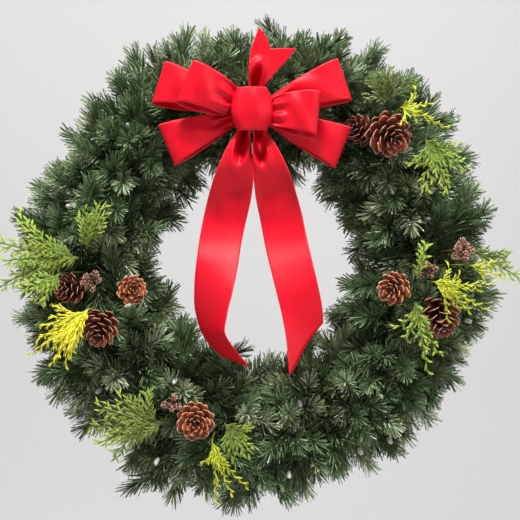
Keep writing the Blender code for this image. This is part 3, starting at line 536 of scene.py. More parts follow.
    def finish(self, *parts: Any) -> NodeTree:
        """Joins the parts into the tree's output and returns the tree.

        Args:
            *parts: what the tree makes.

        Returns:
            The tree.
        """
        join = self.tree.nodes.new("GeometryNodeJoinGeometry")
        for part in parts:
            self.tree.links.new(part, join.inputs[0])
        self.tree.links.new(join.outputs[0], self.end.inputs["Geometry"])
        return self.tree


# ---------------------------------------------------------------- meshes
def mark(mesh: Mesh, name: str, numbers: Sequence[float], vectors: bool = False) -> None:
    """Keeps a number, or the three numbers of a vector, on each point of a mesh under a name."""
    kind, key = ("FLOAT_VECTOR", "vector") if vectors else ("FLOAT", "value")
    mesh.attributes.new(name, kind, "POINT").data.foreach_set(key, numbers)


def mesh_of(bm: bmesh.types.BMesh, name: str) -> Mesh:
    """The mesh of a bmesh, shaded smooth. The bmesh is used up.

    Args:
        bm: the bmesh.
        name: the mesh's name.

    Returns:
        The mesh.
    """
    for face in bm.faces:
        face.smooth = True
    mesh = bpy.data.meshes.new(name)
    bm.to_mesh(mesh)
    bm.free()
    return mesh


def even(count: int) -> list[float]:
    """The shares from 0 to 1 in this many equal steps."""
    return [step / count for step in range(count + 1)]


def grown_line(root: Vector, heading: Vector, bend: Vector, length: float, steps: int) -> list[Vector]:
    """The points of a twig or a branch that bends as it grows."""
    return [root + heading * length * s + bend * length * s * s for s in even(steps)]


def total_length(points: Sequence[Vector]) -> float:
    """The length of a chain of points."""
    return sum((b - a).length for a, b in zip(points, points[1:]))


@dataclass
class Strand:
    """A line that a stem, a thread or a wire follows, with its radius at each point."""

    points: list[Vector]
    widths: list[float]
    facing: Vector = field(default_factory=lambda: FRONT.copy())
    shade: float = 0.5
    closed: bool = False

    @classmethod
    def tapered(cls, points: list[Vector], radii: Span, **kept: Any) -> "Strand":
        """A strand whose radius goes evenly from one value to the other.

        Args:
            points: the line.
            radii: the radius at its root and at its tip.
            **kept: the strand's other fields.

        Returns:
            The strand.
        """
        last = len(points) - 1
        root, tip = radii
        return cls(points, [root + (tip - root) * step / last for step in range(last + 1)], **kept)

    @classmethod
    def plain(cls, points: list[Vector], radius: float, **kept: Any) -> "Strand":
        """A strand with one radius."""
        return cls(points, [radius] * len(points), **kept)


class Workshop:
    """Makes and joins the meshes of the pieces, and hands each piece over to the frame."""

    def __init__(self) -> None:
        """Starts with no pieces made."""
        self.made: list[str] = []

    def link(self, name: str, mesh: Mesh) -> Object:
        """A new object with this mesh, at the origin.

        Args:
            name: its name.
            mesh: its mesh.

        Returns:
            The object.
        """
        obj = bpy.data.objects.new(name, mesh)
        bpy.context.scene.collection.objects.link(obj)
        return obj

    def blade(self, name: str, points: Sequence[Place], faces: Sequence[tuple[int, ...]]) -> Object:
        """A small closed shape on the Z axis, which carries how far along it each point is.

        Args:
            name: its name.
            points: its points.
            faces: its faces, by the numbers of their points.

        Returns:
            The object.
        """
        mesh = bpy.data.meshes.new(name)
        mesh.from_pydata(points, [], faces)
        mark(mesh, "along", [point[2] for point in points])
        return self.link(name, mesh)

    def facing_points(self, name: str, places: Sequence[Vector], facings: Sequence[Vector]) -> Object:
        """An object of loose points, each with the direction that it faces.

        Args:
            name: its name.
            places: the points.
            facings: their directions.

        Returns:
            The object.
        """
        mesh = bpy.data.meshes.new(name)
        mesh.from_pydata(places, [], [])
        mark(mesh, "facing", [number for facing in facings for number in facing], vectors=True)
        return self.link(name, mesh)

    def strand_object(self, strands: Iterable[Strand]) -> Object:
        """An object of edges that follow the strands, which a node tree then gives a body.

        Args:
            strands: the lines, each a chain of points.

        Returns:
            The object, with the strands' widths, facings and shades as attributes.
        """
        points: list[Vector] = []
        edges: list[tuple[int, int]] = []
        widths: list[float] = []
        facings: list[float] = []
        shades: list[float] = []
        for strand in strands:
            first, count = len(points), len(strand.points)
            points += strand.points
            widths += strand.widths
            facings += [number for _ in strand.points for number in strand.facing]
            shades += [strand.shade] * count
            edges += [(first + step, first + step + 1) for step in range(count - 1)]
            if strand.closed:
                edges.append((first + count - 1, first))
        mesh = bpy.data.meshes.new("strands")
        mesh.from_pydata(points, edges, [])
        mark(mesh, "width", widths)
        mark(mesh, "facing", facings, vectors=True)
        mark(mesh, "shade", shades)
        return self.link("strands", mesh)

    def evaluated(self, obj: Object) -> Mesh:
        """The object's mesh with its modifiers applied.

        Args:
            obj: the object.

        Returns:
            The mesh.
        """
        bpy.context.view_layer.update()
        graph = bpy.context.evaluated_depsgraph_get()
        return bpy.data.meshes.new_from_object(obj.evaluated_get(graph))

    def grown(self, name: str, source: Object, tree: NodeTree, **inputs: Any) -> Object:
        """The plain mesh that a node tree makes from a source object, which is then removed.

        Args:
            name: the new object's name.
            source: what the tree works on.
            tree: the Geometry Nodes tree.
            **inputs: a value for each named input, with _ for each space in its name.

        Returns:
            A new object with no modifiers.
        """
        grower = source.modifiers.new("growth", "NODES")
        grower.node_group = tree
        sockets = {item.name: item.identifier for item in tree.interface.items_tree if item.in_out == "INPUT"}
        for key, value in inputs.items():
            grower[sockets[key.replace("_", " ")]] = value
        mesh = self.evaluated(source)
        self.remove(source)
        return self.link(name, mesh)

    def remove(self, *objects: Object) -> None:
        """Removes helper objects."""
        for obj in objects:
            bpy.data.objects.remove(obj, do_unlink=True)

    def joined(self, name: str, objects: Sequence[Object]) -> Object:
        """One object with the meshes and materials of several.

        Args:
            name: its name.
            objects: what is joined.

        Returns:
            The object.
        """
        first = objects[0]
        with bpy.context.temp_override(active_object=first, selected_editable_objects=list(objects)):
            bpy.ops.object.join()
        first.name = name
        return first

    def hand_over(self, obj: Object, slot: Slot, node: str) -> Object:
        """Fixes a finished piece to the frame, in place of its node.

        Args:
            obj: the finished piece.
            slot: the record's material slot; not used.
            node: the node that the piece stands for.

        Returns:
            The same piece.
        """
        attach(obj, "root")
        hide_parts(node)
        self.made.append(obj.name)
        LOG.info("%s: %d faces for %s", obj.name, len(obj.data.polygons), node)
        return obj


def smooth_step(value: float) -> float:
    """A number from 0 to 1 that leaves 0 and reaches 1 gently."""
    value = max(0.0, min(1.0, value))
    return value * value * (3 - 2 * value)


def catmull_rom(rows: Sequence[Sequence[float]], share: float) -> list[float]:
    """The values at a share of the way along rows of numbers, on a smooth curve through them.

    Args:
        rows: the rows of numbers.
        share: how far along, from 0 to 1.

    Returns:
        The values.
    """
    span = (len(rows) - 1) * max(0.0, min(1.0, share))
    index = min(int(span), len(rows) - 2)
    t = span - index
    near = [rows[max(0, min(len(rows) - 1, index + step))] for step in (-1, 0, 1, 2)]
    return [
        0.5 * (2 * b + (c - a) * t + (2 * a - 5 * b + 4 * c - d) * t ** 2 + (3 * b - a - 3 * c + d) * t ** 3)
        for a, b, c, d in zip(*near)
    ]


def rounded_path(points: Sequence[Vector], steps: int, closed: bool = False) -> list[Vector]:
    """A smooth line through points, with this many steps between each two.

    Args:
        points: what the line goes through.
        steps: how many steps lie between two of them.
        closed: whether it comes back to its start.

    Returns:
        The points of the line.
    """
    rows = [tuple(point) for point in points]
    if closed:
        count = len(rows)
        wrapped = [rows[-1], *rows, rows[0], rows[1]]
        return [
            Vector(catmull_rom(wrapped, (1 + index / steps) / (count + 2)))
            for index in range(count * steps)
        ]
    return [Vector(catmull_rom(rows, share)) for share in even((len(rows) - 1) * steps)]


def facing_matrix(place: Vector, axis: Vector) -> Matrix:
    """Moves what stands at the origin on the Z axis to a place and along an axis."""
    return Matrix.Translation(place) @ axis.to_track_quat("Z", "Y").to_matrix().to_4x4()


def lathe(name: str, profile: Sequence[Span], sides: int = 12) -> Mesh:
    """A turned shape on the Z axis, closed at both ends, from the radius and height at each step upwards.

    Args:
        name: the mesh's name.
        profile: the radius and the height at each step.
        sides: how many sides it has.

    Returns:
        The mesh.
    """
    bm = bmesh.new()
    rings = []
    for radius, height in profile:
        turns = [math.tau * side / sides for side in range(sides)]
        rings.append([bm.verts.new((radius * math.cos(a), radius * math.sin(a), height)) for a in turns])
    for below, above in zip(rings, rings[1:]):
        for side in range(sides):
            after = (side + 1) % sides
            bm.faces.new((below[side], below[after], above[after], above[side]))
    bm.faces.new(reversed(rings[0]))
    bm.faces.new(rings[-1])
    return mesh_of(bm, name)


# ---------------------------------------------------------------- finishes
class ShaderSketch(Sketch):
    """The nodes of one material, which ends in a Principled shader."""

    def __init__(self, name: str, roughness: float, **fixed: Any) -> None:
        """Starts a material.

        Args:
            name: the material's name.
            roughness: the shader's roughness.
            **fixed: other values set on the shader's own sockets, with _ for each space.
        """
        self.material = bpy.data.materials.new(name)
        self.material.use_nodes = True
        super().__init__(self.material.node_tree)
        self.shader = self.tree.nodes["Principled BSDF"]
        for key, value in {"Roughness": roughness, **fixed}.items():
            self.shader.inputs[key.replace("_", " ")].default_value = value

    def attribute(self, name: str) -> NodeSocket:
        """A number that the mesh carries."""
        return self.node("ShaderNodeAttribute", attribute_name=name).outputs["Fac"]

    def weighed(self, **shares: float) -> NodeSocket:
        """The sum of numbers that the mesh carries, each times its share."""
        return self.plus(*(self.times(self.attribute(name), share) for name, share in shares.items()))

    def coordinates(self, which: str = "Object") -> NodeSocket:
        """The piece's own object or UV coordinates."""
        return self.node("ShaderNodeTexCoord").outputs[which]

    def noise(
        self, scale: float, detail: float = 3.0, stretch: Place = (1, 1, 1), which: str = "Object"
    ) -> NodeSocket:
        """A soft pattern of spots 1/scale metres apart, closer along an axis where stretch says so.

        Args:
            scale: how many spots there are to a metre.
            detail: how many finer patterns it has.
            stretch: how much closer the spots are along each axis.
            which: Object or UV coordinates.

        Returns:
            The pattern.
        """
        sockets = {0: self.coordinates(which), 1: stretch}
        spread = self.out("ShaderNodeVectorMath", sockets, operation="MULTIPLY")
        return self.out("ShaderNodeTexNoise", {"Vector": spread, "Scale": scale, "Detail": detail})

    def ramp(self, value: Any, *stops: tuple[float, Colour]) -> NodeSocket:
        """A colour for each number, through these stops.

        Args:
            value: the number.
            *stops: the place and the colour of each stop.

        Returns:
            The colour.
        """
        node = self.node("ShaderNodeValToRGB", {"Fac": value})
        elements = node.color_ramp.elements
        while len(elements) < len(stops):
            elements.new(1.0)
        for element, (position, colour) in zip(elements, stops):
            element.position = position
            element.color = (*colour, 1)
        return node.outputs[0]

    def blend(self, share: Any, first: Any, second: Any, how: str = "MIX") -> NodeSocket:
        """Two colours mixed by a share.

        Args:
            share: how much of the second colour there is.
            first: a colour.
            second: a colour.
            how: the way of mixing.

        Returns:
            The mixed colour.
        """
        mix = self.node("ShaderNodeMix", data_type="RGBA", blend_type=how)
        for key, value in ((0, share), (6, first), (7, second)):
            if isinstance(value, NodeSocket):
                self.tree.links.new(value, mix.inputs[key])
            else:
                mix.inputs[key].default_value = (*value, 1) if isinstance(value, tuple) else value
        return mix.outputs[2]

    def bump(self, height: Any, distance: float, strength: float = 1.0) -> None:
        """Raises the surface by a pattern."""
        raised = self.out("ShaderNodeBump", {"Height": height, "Distance": distance, "Strength": strength})
        self.tree.links.new(raised, self.shader.inputs["Normal"])

    def colour(self, value: Any, roughness: Any = None) -> Material:
        """Sets the surface's colour, and its roughness where that varies, and returns the material.

        Args:
            value: the colour.
            roughness: the roughness, or None.

        Returns:
            The material.
        """
        self.tree.links.new(value, self.shader.inputs["Base Color"])
        if roughness is not None:
            self.tree.links.new(roughness, self.shader.inputs["Roughness"])
        return self.material


@dataclass(frozen=True)
class NeedleFinish:
    """Fir needles: dark green with some paler and grey-green ones, paler towards the tips, with painted
    glints and root shade.
    """

    shadow: Colour = (0.014, 0.024, 0.011)
    dark: Colour = (0.09, 0.142, 0.064)
    mid: Colour = (0.205, 0.288, 0.14)
    # The pale colour is partly grey-green needles and partly painted glints on the glossy needles.
    pale: Colour = (0.48, 0.56, 0.4)
    tip_gain: Colour = (1.7, 1.6, 1.35)
    roughness: float = 0.3

    def material(self) -> Material:
        """Builds the material.

        Returns:
            The material.
        """
        paint = ShaderSketch("fir_needles", self.roughness, Specular_IOR_Level=0.55)
        along = paint.attribute("along")
        stops = ((0.0, self.dark), (0.34, self.dark), (0.62, self.mid), (0.86, self.pale), (1.0, self.pale))
        body = paint.ramp(paint.weighed(tint=0.5, shade=0.5), *stops)
        tips = paint.mapped(along, (0.35, 1.0), (0.0, 0.35))
        body = paint.blend(tips, body, paint.blend(1.0, body, self.tip_gain, "MULTIPLY"))
        # Painted shade: each needle darkens towards the shadow colour at its root, inside the twig.
        body = paint.blend(paint.mapped(along, (0.0, 0.35), (0.55, 0.0)), body, self.shadow)
        rough = paint.mapped(paint.noise(90), (0.3, 0.7), (self.roughness - 0.08, self.roughness + 0.14))
        return paint.colour(body, rough)


@dataclass(frozen=True)
class BarkFinish:
    """Twigs: brown bark over green wire, with a pale bud colour at the ends."""

    bark: Colour = (0.06, 0.038, 0.02)
    green: Colour = (0.035, 0.06, 0.022)
    bud: Colour = (0.27, 0.19, 0.08)
    roughness: float = 0.7

    def material(self) -> Material:
        """Builds the material.

        Returns:
            The material.
        """
        paint = ShaderSketch("twig_bark", self.roughness)
        body = paint.ramp(paint.noise(260, 4), (0.35, self.bark), (0.62, self.green))
        body = paint.blend(paint.mapped(paint.attribute("share"), (0.93, 1.0), (0.0, 0.85)), body, self.bud)
        paint.bump(paint.noise(900, 2), 0.0003)
        return paint.colour(body)


@dataclass(frozen=True)
class LeafFinish:
    """Scaly branchlets: deeper at the rib and brighter at the growing ends; the deep colour is partly the
    ribs' own and partly painted shade.
    """

    name: str
    deep: Colour
    fresh: Colour
    end: Colour
    roughness: float = 0.5

    def material(self) -> Material:
        """Builds the material.

        Returns:
            The material.
        """
        paint = ShaderSketch(self.name, self.roughness, Specular_IOR_Level=0.4)
        growth = paint.weighed(shade=0.75, tint=0.25)
        body = paint.ramp(growth, (0.05, self.deep), (0.5, self.fresh), (0.95, self.end))
        ridge = paint.mapped(paint.attribute("along"), (0.0, 1.0), (0.0, 0.3))
        return paint.colour(paint.blend(ridge, body, self.end))


@dataclass(frozen=True)
class ConeFinish:
    """Open cone scales: red brown, with painted shade darkening the inner part of each scale and a painted
    highlight on the rims.
    """

    name: str
    deep: Colour
    brown: Colour
    rust: Colour
    rim: Colour
    roughness: float = 0.34

    def material(self) -> Material:
        """Builds the material.

        Returns:
            The material.
        """
        paint = ShaderSketch(self.name, self.roughness, Specular_IOR_Level=0.5)
        body = paint.ramp(paint.attribute("tint"), (0.1, self.brown), (0.9, self.rust))
        grain = paint.noise(420, 4)
        body = paint.blend(paint.mapped(grain, (0.35, 0.7), (0.0, 0.35)), body, self.deep)
        # Painted shade: each scale darkens to the deep colour towards its base, between the scales.
        body = paint.blend(paint.mapped(paint.attribute("along"), (0.15, 0.72), (0.9, 0.0)), body, self.deep)
        # Painted highlight: the outer rim of each scale turns to the pale rim colour.
        body = paint.blend(paint.mapped(paint.attribute("rim"), (0.9, 1.0), (0.0, 0.8)), body, self.rim)
        paint.bump(grain, 0.0005)
        return paint.colour(body)


# Each finish: deep, which is the grain's dark and the painted shade at the scales' bases, brown, rust, and
# rim, a painted highlight.
BROWN_SCALES = ConeFinish(
    "cone_scales", (0.008, 0.003, 0.002), (0.15, 0.024, 0.012), (0.36, 0.07, 0.03), (0.72, 0.36, 0.23)
)
RUSTY_SCALES = ConeFinish(
    "rusty_scales", (0.012, 0.004, 0.002), (0.25, 0.046, 0.018), (0.54, 0.13, 0.045), (0.9, 0.54, 0.33)
)
HUSK_SCALES = ConeFinish(
    "husks", (0.13, 0.055, 0.034), (0.48, 0.225, 0.135), (0.7, 0.38, 0.245), (0.88, 0.62, 0.46), 0.5
)


@dataclass(frozen=True)
class SatinFinish:
    """Double-faced satin ribbon: fine cross threads, a soft gloss, a ribbed selvedge on both edges, painted
    soft shade and a painted highlight on the selvedge.
    """

    red: Colour = (0.78, 0.003, 0.02)
    # The deep red paints the darker slub threads and the soft painted shade.
    deep: Colour = (0.64, 0.001, 0.013)
    groove: Colour = (0.26, 0.0, 0.006)
    selvedge_and_highlight: Colour = (0.95, 0.035, 0.055)
    half_width: float = 0.03175
    selvedge: float = 0.0016
    groove_width: float = 0.0009
    thread_pitch: float = 0.00042
    rib_pitch: float = 0.0011
    relief: float = 0.00009
    roughness: float = 0.37

    def material(self) -> Material:
        """Builds the material, whose threads follow the ribbon's own UV map in metres.

        Returns:
            The material.
        """
        paint = ShaderSketch("bow_satin", self.roughness, Specular_IOR_Level=0.25)
        split = paint.node("ShaderNodeSeparateXYZ", {0: paint.coordinates("UV")})
        along, edge = split.outputs[0], paint.math("ABSOLUTE", split.outputs[1])
        threads = paint.math("SINE", paint.times(along, math.tau / self.thread_pitch))
        slubs = paint.noise(1.0, 3, (2600, 70, 1), "UV")
        # Painted shade: soft patches a few centimetres across that darken the ribbon towards the deep red.
        painted_soft_shade = paint.noise(1.0, 2, (14, 22, 1), "UV")
        shade = paint.plus(paint.times(slubs, 0.65), paint.times(painted_soft_shade, 0.35))
        body = paint.ramp(shade, (0.3, self.deep), (0.62, self.red))
        limit = self.half_width - self.selvedge
        groove = paint.math("GREATER_THAN", edge, limit - self.groove_width)
        selvedge = paint.math("GREATER_THAN", edge, limit)
        body = paint.blend(paint.times(groove, 0.45), body, self.groove)
        # The selvedge is lighter: partly its own weave and partly a painted highlight along the edge.
        body = paint.blend(paint.times(selvedge, 0.75), body, self.selvedge_and_highlight)
        ribs = paint.times(selvedge, paint.math("SINE", paint.times(along, math.tau / self.rib_pitch)))
        paint.bump(paint.plus(paint.times(threads, 0.3), paint.plus(slubs, ribs)), self.relief, 0.8)
        rough = paint.mapped(slubs, (0.3, 0.7), (self.roughness - 0.05, self.roughness + 0.08))
        return paint.colour(body, rough)


@dataclass(frozen=True)
class WireFinish:
    """Wire: painted or bare, with rubbed spots."""

    name: str
    paint_colour: Colour
    rubbed: Colour
    metallic: float
    roughness: float

    def material(self) -> Material:
        """Builds the material.

        Returns:
            The material.
        """
        paint = ShaderSketch(self.name, self.roughness, Metallic=self.metallic)
        spots = paint.noise(320, 4)
        paint.bump(spots, 0.0001)
        return paint.colour(paint.ramp(spots, (0.45, self.paint_colour), (0.72, self.rubbed)))


GREEN_WIRE = WireFinish("green_wire", (0.018, 0.06, 0.028), (0.11, 0.13, 0.105), 0.5, 0.42)
BARE_WIRE = WireFinish("tie_wire", (0.36, 0.36, 0.35), (0.52, 0.51, 0.49), 1.0, 0.36)
PICK_WIRE = WireFinish("pick_wire", (0.06, 0.04, 0.028), (0.12, 0.085, 0.06), 0.2, 0.6)


@dataclass(frozen=True)
class PlasticFinish:
    """Moulded plastic: the light string's cord and sockets."""

    name: str
    colour: Colour
    roughness: float = 0.4

    def material(self) -> Material:
        """Builds the material.

        Returns:
            The material.
        """
        paint = ShaderSketch(self.name, self.roughness)
        lighter = tuple(min(1.0, channel * 1.5) for channel in self.colour)
        grain = paint.noise(700, 3)
        paint.bump(grain, 0.00008)
        return paint.colour(paint.ramp(grain, (0.35, self.colour), (0.75, lighter)))


CORD_PLASTIC = PlasticFinish("light_cord", (0.012, 0.05, 0.022))
SOCKET_PLASTIC = PlasticFinish("socket_green", (0.014, 0.055, 0.026))


@dataclass(frozen=True)
class BulbFinish:
    """A clear mini bulb, unlit: pale glass with a milky tip."""

    glass: Colour = (0.86, 0.88, 0.82)
    milky: Colour = (0.95, 0.94, 0.88)
    dusty: Colour = (0.6, 0.62, 0.55)

    def material(self) -> Material:
        """Builds the material.

        Returns:
            The material.
        """
        paint = ShaderSketch("bulb_glass", 0.12, Transmission_Weight=0.35, IOR=1.45, Coat_Weight=0.4)
        tip = paint.mapped(paint.attribute("along"), (0.55, 0.95), (0.0, 1.0))
        clouded = paint.blend(tip, self.glass, self.milky)
        dust = paint.mapped(paint.noise(500, 3), (0.4, 0.8), (0.0, 0.25))
        return paint.colour(paint.blend(dust, clouded, self.dusty))


@dataclass(frozen=True)
class StudioFinish:
    """The plain pale floor and backdrop."""

    pale: Colour = (0.72, 0.715, 0.715)

    def material(self) -> Material:
        """Builds the material.

        Returns:
            The material.
        """
        paint = ShaderSketch("studio_pale", 0.9, Specular_IOR_Level=0.1)
        lighter = tuple(channel * 1.03 for channel in self.pale)
        return paint.colour(paint.ramp(paint.noise(0.6, 2), (0.3, self.pale), (0.7, lighter)))


# ---------------------------------------------------------------- the bow's shape
@dataclass(frozen=True)
class Knot:
    """The bow's centre: a short loop of ribbon, pinched behind, with its openings above and below."""

    x: float = -0.01
    height: float = 0.218
    depth: float = 0.186
    size: Place = (0.062, 0.04, 0.062)

    def middle(self, depth: float | None = None) -> Vector:
        """The knot's middle, or the point at another depth on the same line."""
        return RING.place(self.x, self.height, self.depth if depth is None else depth)


KNOT = Knot()
RIBBON = 0.0635
TIE_ANGLE = 90.55


@dataclass(frozen=True)
class BowLoop:
    """One loop of the bow: its direction, where it starts and ends from the knot, and its depths."""

    name: str
    angle: float
    root: float
    root_half_width: float
    reach: float
    root_depth: float
    tip_depth: float
    bulge: float
    widen: float = 0.82
    tilt: float = 0.3
    root_gap: float = 0.0016


BOW_LOOPS = (
    BowLoop("bow_loop_upper_left", 163, 0.022, 0.0068, 0.143, 0.158, 0.15, 0.0125),
    BowLoop("bow_loop_front_left", 158, 0.031, 0.0195, 0.104, 0.18, 0.19, 0.012, 0.6),
    BowLoop("bow_loop_lower_left", 202, 0.022, 0.0068, 0.134, 0.158, 0.156, 0.0135, 0.8, 0.1),
    BowLoop("bow_loop_upper_right", 19, 0.022, 0.0068, 0.143, 0.158, 0.15, 0.0125, 0.8, 0.2),
    BowLoop("bow_loop_front_right", -5, 0.03, 0.0195, 0.096, 0.18, 0.191, 0.012, 0.6),
    BowLoop("bow_loop_lower_right", -22, 0.022, 0.0068, 0.143, 0.158, 0.152, 0.013, 0.8, 0.1),
)


@dataclass(frozen=True)
class RibbonEnd:
    """A free end of the ribbon: rows of x, height, depth, half width and turn about its length."""

    name: str
    length: float
    held: str
    rows: tuple[tuple[float, float, float, float, float], ...]
    hollow: float
    hollow_end: float
    hollow_side: float
    notch: float = 0.0
    slant: float = 0.0
    sag: float = 0.0


TAIL_LEFT = RibbonEnd(
    "bow_tail_left", 0.375, "hung",
    (
        (-0.0175, 0.1973, 0.16, 0.0068, 0), (-0.0225, 0.183, 0.165, 0.0105, -2),
        (-0.0285, 0.158, 0.174, 0.0195, -6), (-0.0345, 0.125, 0.174, 0.0275, -8),
        (-0.0415, 0.095, 0.158, 0.0305, -2), (-0.0495, 0.063, 0.145, 0.0312, 4),
        (-0.056, 0.03, 0.147, 0.0312, 8), (-0.061, -0.005, 0.157, 0.0312, 12),
        (-0.066, -0.04, 0.161, 0.0312, 24), (-0.069, -0.075, 0.157, 0.0312, 40),
        (-0.0615, -0.113, 0.153, 0.0305, 60), (-0.019, -0.159, 0.152, 0.024, 70),
    ),
    hollow=0.019, hollow_end=0.245, hollow_side=0.06, slant=0.055, sag=0.011,
)
TAIL_RIGHT = RibbonEnd(
    "bow_tail_right", 0.372, "hung",
    (
        (-0.0025, 0.1973, 0.16, 0.0068, 0), (0.0025, 0.183, 0.163, 0.0105, 2),
        (0.009, 0.158, 0.173, 0.019, 6), (0.0175, 0.125, 0.172, 0.0262, 8),
        (0.0245, 0.095, 0.157, 0.0295, 4), (0.0325, 0.063, 0.145, 0.0308, 2),
        (0.039, 0.03, 0.146, 0.0312, -2), (0.047, -0.005, 0.156, 0.0312, -6),
        (0.0555, -0.04, 0.161, 0.0312, -10), (0.063, -0.075, 0.158, 0.0312, -16),
        (0.0665, -0.113, 0.154, 0.0312, -30), (0.067, -0.165, 0.152, 0.0312, -43),
    ),
    hollow=0.019, hollow_end=0.245, hollow_side=-0.35, slant=-0.136, sag=0.011,
)
TOP_END = RibbonEnd(
    "bow_end_top", 0.094, "gathered",
    (
        (-0.0062, 0.2397, 0.158, 0.0068, 0), (-0.0035, 0.255, 0.162, 0.0115, 0),
        (0.002, 0.273, 0.166, 0.018, 0), (0.012, 0.296, 0.168, 0.026, 0),
        (0.027, 0.322, 0.17, 0.0315, 0),
    ),
    hollow=0.015, hollow_end=0.62, hollow_side=-0.22, notch=0.16,
)


# ---------------------------------------------------------------- where the twigs go
Twig = list[Vector]
Blocks = tuple[np.ndarray, np.ndarray, np.ndarray]


@dataclass(frozen=True)
class Obstacles:
    """What the twigs keep clear of, and how far."""

    cone: float = 0.012
    pick: float = 0.0052
    stem: float = 0.0055
    frond: float = 0.01
    frond_share: float = 0.45
    husks: float = 0.018
    lead: float = 0.006
    lamp: float = 0.011
    loop: float = 0.026
    loop_side: float = 0.02
    ribbon: float = 0.018
    ribbon_share: float = 0.6
    tie: float = 0.01

    def segments(self) -> Iterator[tuple[Vector, Vector, float]]:
        """Each obstacle as a line from start to end, and the distance to keep from it.

        Returns:
            For each line its start, its end and the distance.
        """
        for cone in CONES:
            yield cone.middle, cone.middle, cone.radius + self.cone
            yield cone.middle, RING.on_bundle(cone.middle), self.pick
        for frond in FRONDS:
            root, tip = RING.place(*frond.root), RING.place(*frond.tip)
            yield root, tip, self.frond + self.frond_share * frond.half_width
            yield RING.on_bundle(root), root, self.stem
        for spot in SEED_SPOTS:
            middle = RING.place(*spot)
            yield middle, middle, self.husks
            yield RING.on_bundle(middle), middle, self.pick
        for spot in LAMP_SPOTS:
            lead, tip = LightString().lamp_points(*spot)
            for start, end in zip(lead, lead[1:]):
                yield start, end, self.lead
            yield lead[-1], tip, self.lamp
        for loop in BOW_LOOPS:
            root = KNOT.middle(loop.root_depth)
            tip = KNOT.middle(loop.tip_depth) + RING.outwards(loop.angle) * loop.reach
            side = RING.outwards(loop.angle + 90) * self.loop_side
            for share in (-1, 0, 1):
                yield root, tip + side * share, self.loop
        for tail in (TAIL_LEFT, TAIL_RIGHT, TOP_END):
            for before, after in zip(tail.rows, tail.rows[1:]):
                side = Vector((before[3] * self.ribbon_share, 0, 0))
                for k in (-1, 1):
                    yield RING.place(*before[:3]) + side * k, RING.place(*after[:3]) + side * k, self.ribbon
        yield KNOT.middle(), RING.polar(TIE_ANGLE, RING.radius, RING.depth), self.tie

    def blocks(self) -> Blocks:
        """All of them as arrays of starts, ends and distances to keep."""
        starts, ends, keeps = (np.array(column, float) for column in zip(*self.segments()))
        return starts, ends, keeps


def distances(points: np.ndarray, starts: np.ndarray, ends: np.ndarray) -> np.ndarray:
    """The distance from each point to each segment.

    Args:
        points: one point a row.
        starts: where each segment starts.
        ends: where each segment ends.

    Returns:
        A row for each point, with a column for each segment.
    """
    spans = ends - starts
    lengths = np.maximum((spans ** 2).sum(axis=1), 1e-12)
    away = points[:, None, :] - starts[None]
    shares = np.clip((away * spans[None]).sum(axis=2) / lengths, 0, 1)
    return np.linalg.norm(away - shares[..., None] * spans[None], axis=2)


